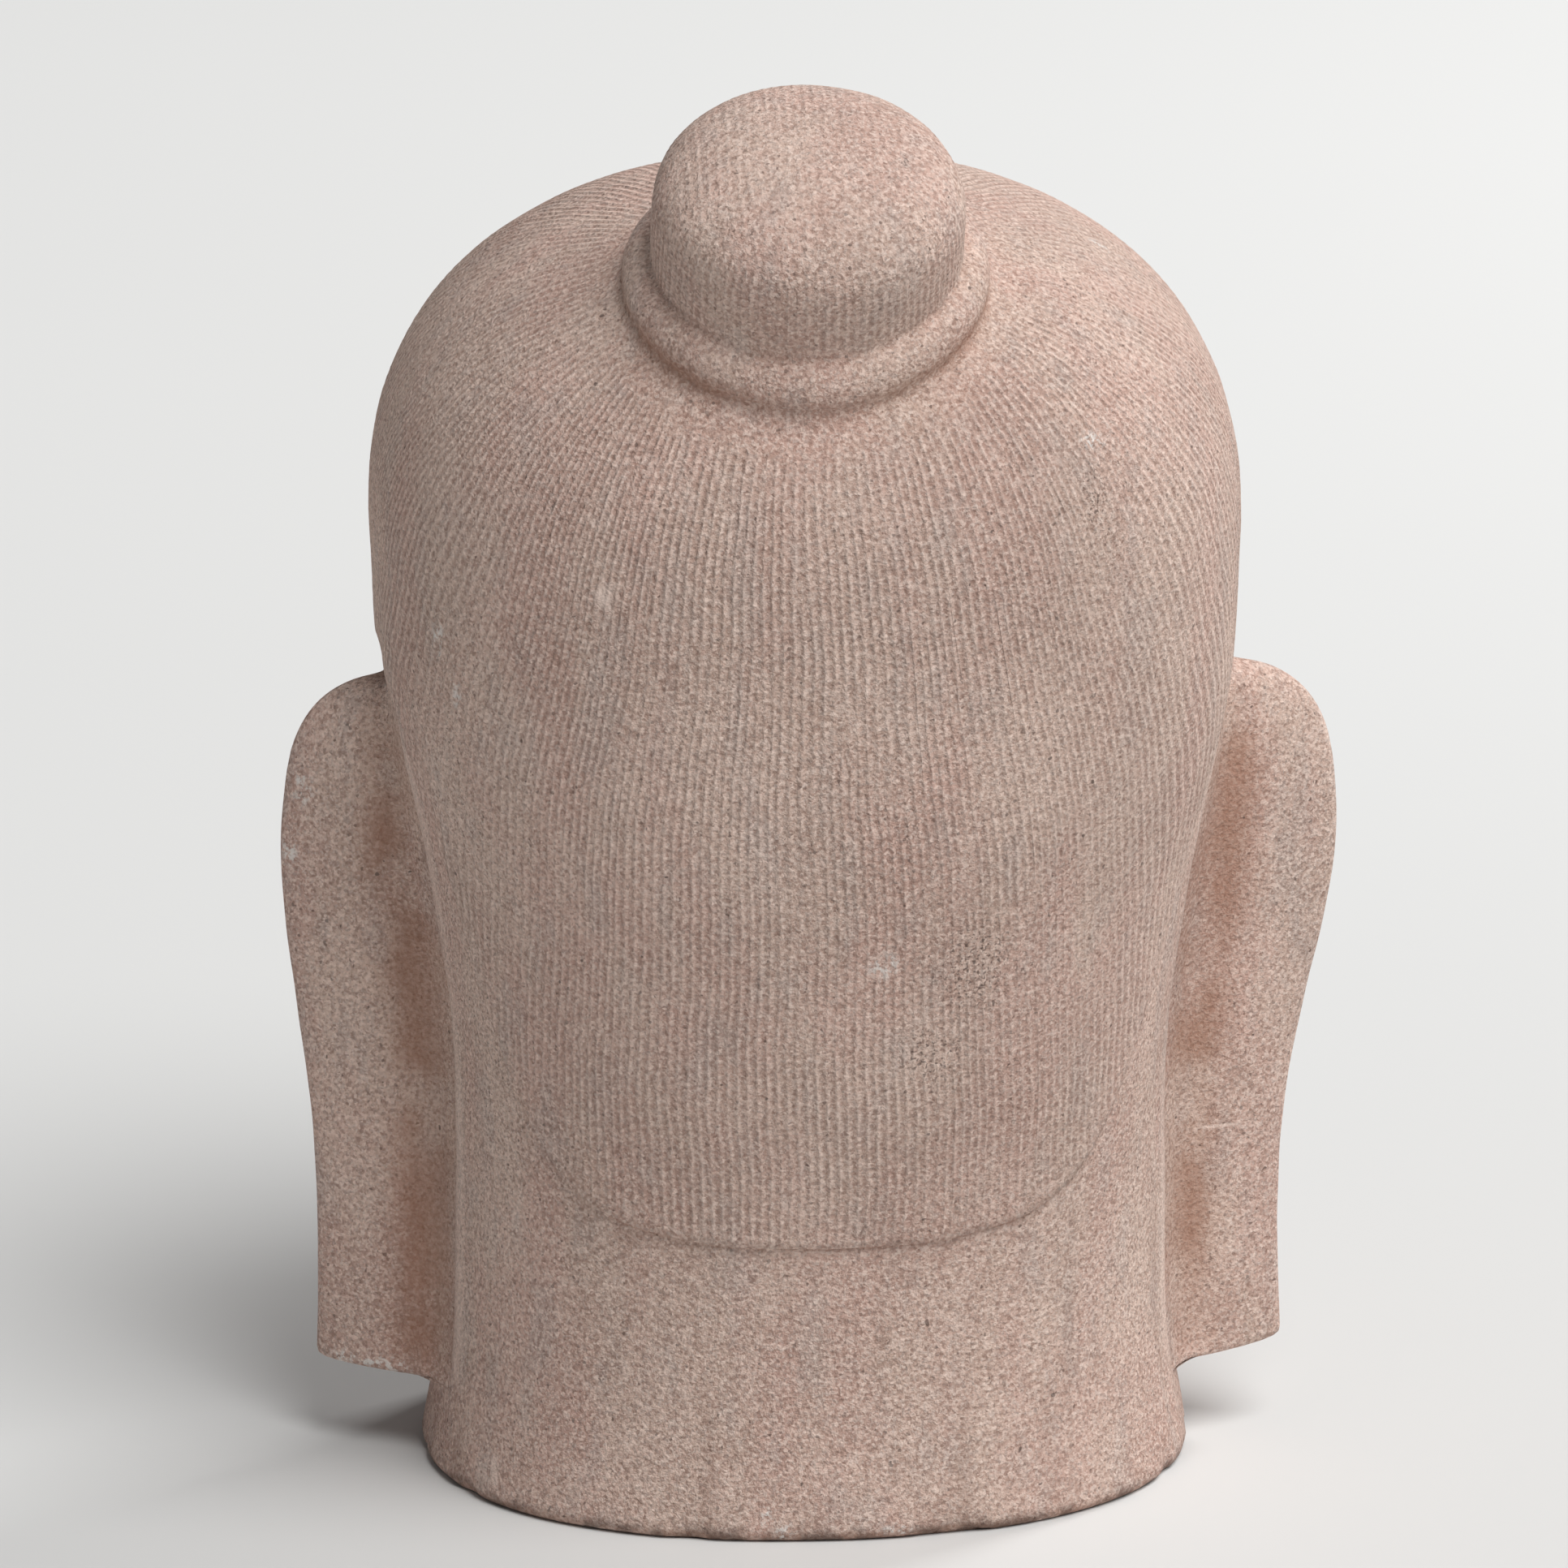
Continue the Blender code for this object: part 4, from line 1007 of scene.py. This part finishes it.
SCRATCHES = [
    ((-0.1012, 0.0090, 0.0804), (0.0085, 0.0120, 0.0006)),
    ((0.0788, 0.0477, 0.0088), (0.0012, 0.0120, 0.0060)),
    ((0.0535, 0.0942, 0.2401), (0.0032, 0.0060, 0.0040)),
]
PIT_PATCHES = [
    ((-0.0620, 0.0857, 0.2600), (0.005, 0.010, 0.012)),
    ((-0.0334, 0.0920, 0.1480), (0.016, 0.012, 0.020)),
    ((-0.0244, 0.0900, 0.1250), (0.012, 0.010, 0.012)),
    ((-0.0180, 0.0780, 0.3395), (0.003, 0.004, 0.003)),
]
STAINS = [
    ((0.1000, 0.0134, 0.1639), (0.006, 0.010, 0.014)),
    ((0.0890, 0.0188, 0.1309), (0.005, 0.010, 0.018)),
    ((0.0905, 0.0126, 0.0834), (0.005, 0.010, 0.030)),
    ((0.0897, 0.0161, 0.0480), (0.004, 0.010, 0.018)),
    ((-0.0920, 0.0240, 0.1455), (0.005, 0.008, 0.018)),
    ((-0.0915, 0.0158, 0.1018), (0.004, 0.008, 0.026)),
    ((-0.0945, 0.0122, 0.0454), (0.005, 0.008, 0.018)),
]


def length(name, description, default, most, least=0.0):
    """A small length property."""
    return bpy.props.FloatProperty(
        name=name, description=description, default=default, min=least, max=most,
        subtype="DISTANCE", unit="LENGTH", precision=5,
    )


def tint(name, description, rgb):
    """A colour property."""
    return bpy.props.FloatVectorProperty(
        name=name, description=description, default=rgb, size=3, subtype="COLOR", min=0.0, max=1.0
    )


class HeadSizes(bpy.types.PropertyGroup):
    """Sizes of the carving that can be changed."""

    depth: length("Comb depth", "Depth of the comb chisel's lines", 0.00027, 0.001)
    fold: length("Ear fold", "Height of the crest where an ear joins the head", 0.0009, 0.002)
    hand: length("Hand", "Unevenness that the carver's hand leaves", 0.00035, 0.002)
    chips: length("Chips", "Depth of the chips along the cut", 0.0016, 0.004)


class StoneLook(bpy.types.PropertyGroup):
    """Colours and surface of the stone that can be changed."""

    pink: tint("Pink bed", "Pinker parts of the stone", (0.620, 0.418, 0.350))
    beige: tint("Beige bed", "Paler, sandier parts", (0.650, 0.485, 0.405))
    grey: tint("Grey grains", "Greyer grains and patches", (0.480, 0.400, 0.365))
    # also used for painted highlights on the comb lines' ridges and on the crest beside the ears
    pale: tint("Pale grains and highlights", "Lightest grains and painted highlights", (0.900, 0.730, 0.640))
    # also used for painted shade in the grooves of the comb lines
    shade: tint("Groove shade", "Painted shade in the grooves and darker grains", (0.260, 0.160, 0.125))
    dark: tint("Dark grains", "Dark minerals, pits and the edge of the cut", (0.070, 0.050, 0.042))
    # also used for painted shade in the hollows, mixed with their brown stain
    brown: tint("Brown stain and shade", "Stain and painted shade in the hollows", (0.330, 0.160, 0.100))
    chalk: tint("Chalk", "Whitish deposits", (0.800, 0.760, 0.720))
    roughness: bpy.props.FloatProperty(
        name="Roughness", description="How dull the stone is", default=0.90,
        min=0.3, max=1.0, subtype="FACTOR",
    )
    grain: length("Grain", "Size of a grain", 0.00068, 0.004, 0.0002)
    bump: bpy.props.FloatProperty(
        name="Bump", description="Strength of the fine surface", default=1.0, min=0.0, max=3.0
    )


class StageSettings(bpy.types.PropertyGroup):
    """Camera and light."""

    azimuth: bpy.props.FloatProperty(
        name="Azimuth", description="Camera's direction round the head, 0 in front of the face",
        default=math.radians(176.07), subtype="ANGLE", unit="ROTATION",
    )
    elevation: bpy.props.FloatProperty(
        name="Elevation", description="Camera's angle above the level", default=math.radians(16.0),
        subtype="ANGLE", unit="ROTATION",
    )
    distance: bpy.props.FloatProperty(
        name="Distance", description="Camera's distance", default=2.6,
        min=0.5, subtype="DISTANCE", unit="LENGTH",
    )
    focal_pixels: bpy.props.FloatProperty(
        name="Focal length", description="In pixels of the photograph's width", default=13173.0, min=500.0
    )
    key_light: bpy.props.FloatProperty(
        name="Key light", description="Soft light from the upper right", default=2.92, min=0.0
    )
    fill_light: bpy.props.FloatProperty(
        name="Fill light", description="Weak light from the left", default=0.6, min=0.0, unit="POWER"
    )
    front_light: bpy.props.FloatProperty(
        name="Front light", description="Soft light on the face from its right", default=42.0,
        min=0.0, unit="POWER",
    )
    floor: tint("Floor", "Colour of the floor", (0.66, 0.66, 0.65))
    sky: tint("Surround", "Colour of the light from all round", (0.13, 0.13, 0.132))


class HEAD_OT_carving(bpy.types.Operator):
    """Build the carved head in place of its solid"""

    bl_idname = "stonehead.carving"
    bl_label = "Carved head"

    def execute(self, context):
        sizes = context.scene.head_sizes
        size = {name: getattr(sizes, name) for name in ("depth", "fold", "hand", "chips")}
        place, quads, triangles, u, v, comb, lines, stain_and_shade = carve_head(size)
        mesh = bpy.data.meshes.new("carved_head")
        fill_mesh(mesh, place, quads, triangles)
        add_corners(mesh, "carving", u, v)
        for name, values in (("combed", comb), ("lines", lines), ("stain_and_shade", stain_and_shade)):
            mesh.attributes.new(name, "FLOAT", "POINT").data.foreach_set("value", values.astype(np.float32))
        mesh.shade_smooth()
        head = bpy.data.objects.new("carved_head", mesh)
        context.scene.collection.objects.link(head)
        mesh.materials.append(sandstone(context.scene.stone_look))
        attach(head, "root")
        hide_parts("stone_head")
        return {"FINISHED"}


def fill_mesh(mesh, place, quads, triangles):
    """Puts whole arrays of points and faces into a mesh."""
    starts = np.concatenate([np.arange(len(quads)) * 4, len(quads) * 4 + np.arange(len(triangles)) * 3])
    mesh.vertices.add(len(place))
    mesh.vertices.foreach_set("co", place.astype(np.float32).ravel())
    mesh.loops.add(quads.size + triangles.size)
    index = np.concatenate([quads.ravel(), triangles.ravel()])
    mesh.loops.foreach_set("vertex_index", index.astype(np.int32))
    mesh.polygons.add(len(starts))
    mesh.polygons.foreach_set("loop_start", starts.astype(np.int32))
    mesh.update(calc_edges=True)
    if mesh.validate():
        raise RuntimeError("the carved head's faces are not sound")


def add_corners(mesh, name, u, v):
    """Texture corners from each point's turn and way down, unwound where a face crosses the turn's end."""
    index = np.empty(len(mesh.loops), np.int32)
    mesh.loops.foreach_get("vertex_index", index)
    starts = np.empty(len(mesh.polygons), np.int32)
    mesh.polygons.foreach_get("loop_start", starts)
    corner = u[index]
    highest = np.maximum.reduceat(corner, starts)
    counts = np.diff(np.append(starts, len(index)))
    crossing = (np.repeat(highest, counts) - corner) > 0.5
    layer = mesh.uv_layers.new(name=name)
    layer.data.foreach_set("uv", np.stack([corner + crossing, v[index]], -1).astype(np.float32).ravel())


class HEAD_OT_stage(bpy.types.Operator):
    """Build the plain stage: floor, soft lights and camera"""

    bl_idname = "stonehead.stage"
    bl_label = "Stage"

    def execute(self, context):
        stage = context.scene.stage_settings
        add_floor(context, colour(stage.floor))
        add_light(context, "key", "SUN", KEY_PLACE, (0, 0, 0), stage.key_light).angle = KEY_SPREAD
        add_light(context, "fill", "AREA", FILL_PLACE, LIGHT_TARGET, stage.fill_light).size = FILL_WIDTH
        add_light(context, "front", "AREA", FRONT_PLACE, LIGHT_TARGET, stage.front_light).size = FRONT_WIDTH
        add_surround(context, colour(stage.sky))
        add_camera(context, stage)
        context.scene.view_settings.view_transform = "Standard"
        context.scene.view_settings.look = "None"
        return {"FINISHED"}


def add_floor(context, rgba):
    """A flat, pale floor that runs out of sight."""
    place = FLOOR_REACH * np.array([[-1.0, -1.0, 0.0], [1.0, -1.0, 0.0], [1.0, 1.0, 0.0], [-1.0, 1.0, 0.0]])
    mesh = bpy.data.meshes.new("floor")
    fill_mesh(mesh, place, np.array([[0, 1, 2, 3]]), np.empty((0, 3), np.int32))
    s = Shader("plain_floor")
    spot = s.node("ShaderNodeTexCoord", {}, {}, "Object")
    soft = s.noise(spot, 3.0, 2.0) * 0.06
    s.feed(s.surface, {"Base Color": s.mix(soft, rgba, (0.5, 0.5, 0.5, 1.0)), "Roughness": 0.85})
    mesh.materials.append(s.material)
    floor = bpy.data.objects.new("floor", mesh)
    context.scene.collection.objects.link(floor)


def add_light(context, name, kind, place, target, power):
    """A light of one kind at a place, aimed at a target."""
    light = bpy.data.lights.new(name, kind)
    light.energy = power
    lamp = bpy.data.objects.new(name, light)
    lamp.location = place
    lamp.rotation_euler = (Vector(target) - Vector(place)).to_track_quat("-Z", "Y").to_euler()
    context.scene.collection.objects.link(lamp)
    return light


def add_surround(context, rgba):
    """Even light from all round."""
    world = bpy.data.worlds.new("surround")
    world.use_nodes = True
    world.node_tree.nodes["Background"].inputs["Color"].default_value = rgba
    world.node_tree.nodes["Background"].inputs["Strength"].default_value = 1.0
    context.scene.world = world


def add_camera(context, stage):
    """A long lens from behind and a little above, as the photograph was taken."""
    a, e = stage.azimuth, stage.elevation
    back = Vector((math.sin(a) * math.cos(e), -math.cos(a) * math.cos(e), math.sin(e)))
    target = Vector(CAMERA_TARGET)
    data = bpy.data.cameras.new("camera")
    data.sensor_width = SENSOR_WIDTH
    data.lens = data.sensor_width * stage.focal_pixels / PHOTO_PIXELS
    data.clip_end = 50.0
    camera = bpy.data.objects.new("camera", data)
    camera.location = target + back * stage.distance
    camera.rotation_euler = (-back).to_track_quat("-Z", "Y").to_euler()
    context.scene.collection.objects.link(camera)
    context.scene.camera = camera


class HEAD_PT_panel(bpy.types.Panel):
    """Sidebar panel with the head's operators and settings"""

    bl_idname = "HEAD_PT_panel"
    bl_label = "Stone head"
    bl_space_type = "VIEW_3D"
    bl_region_type = "UI"
    bl_category = "Stone head"

    def draw(self, context):
        for group in ("head_sizes", "stone_look", "stage_settings"):
            settings = getattr(context.scene, group)
            box = self.layout.box()
            for name in settings.__annotations__:
                box.prop(settings, name)
        for operator in OPERATORS:
            self.layout.operator(operator.bl_idname)


OPERATORS = (HEAD_OT_carving, HEAD_OT_stage)
CLASSES = (HeadSizes, StoneLook, StageSettings, *OPERATORS, HEAD_PT_panel)
GROUPS = {"head_sizes": HeadSizes, "stone_look": StoneLook, "stage_settings": StageSettings}


def register():
    for cls in CLASSES:
        bpy.utils.register_class(cls)
    for name, group in GROUPS.items():
        setattr(bpy.types.Scene, name, bpy.props.PointerProperty(type=group))


def unregister():
    for name in GROUPS:
        delattr(bpy.types.Scene, name)
    for cls in reversed(CLASSES):
        bpy.utils.unregister_class(cls)


def main():
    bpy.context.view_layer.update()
    register()
    bpy.ops.stonehead.carving()
    bpy.ops.stonehead.stage()


if __name__ == "__main__":
    main()
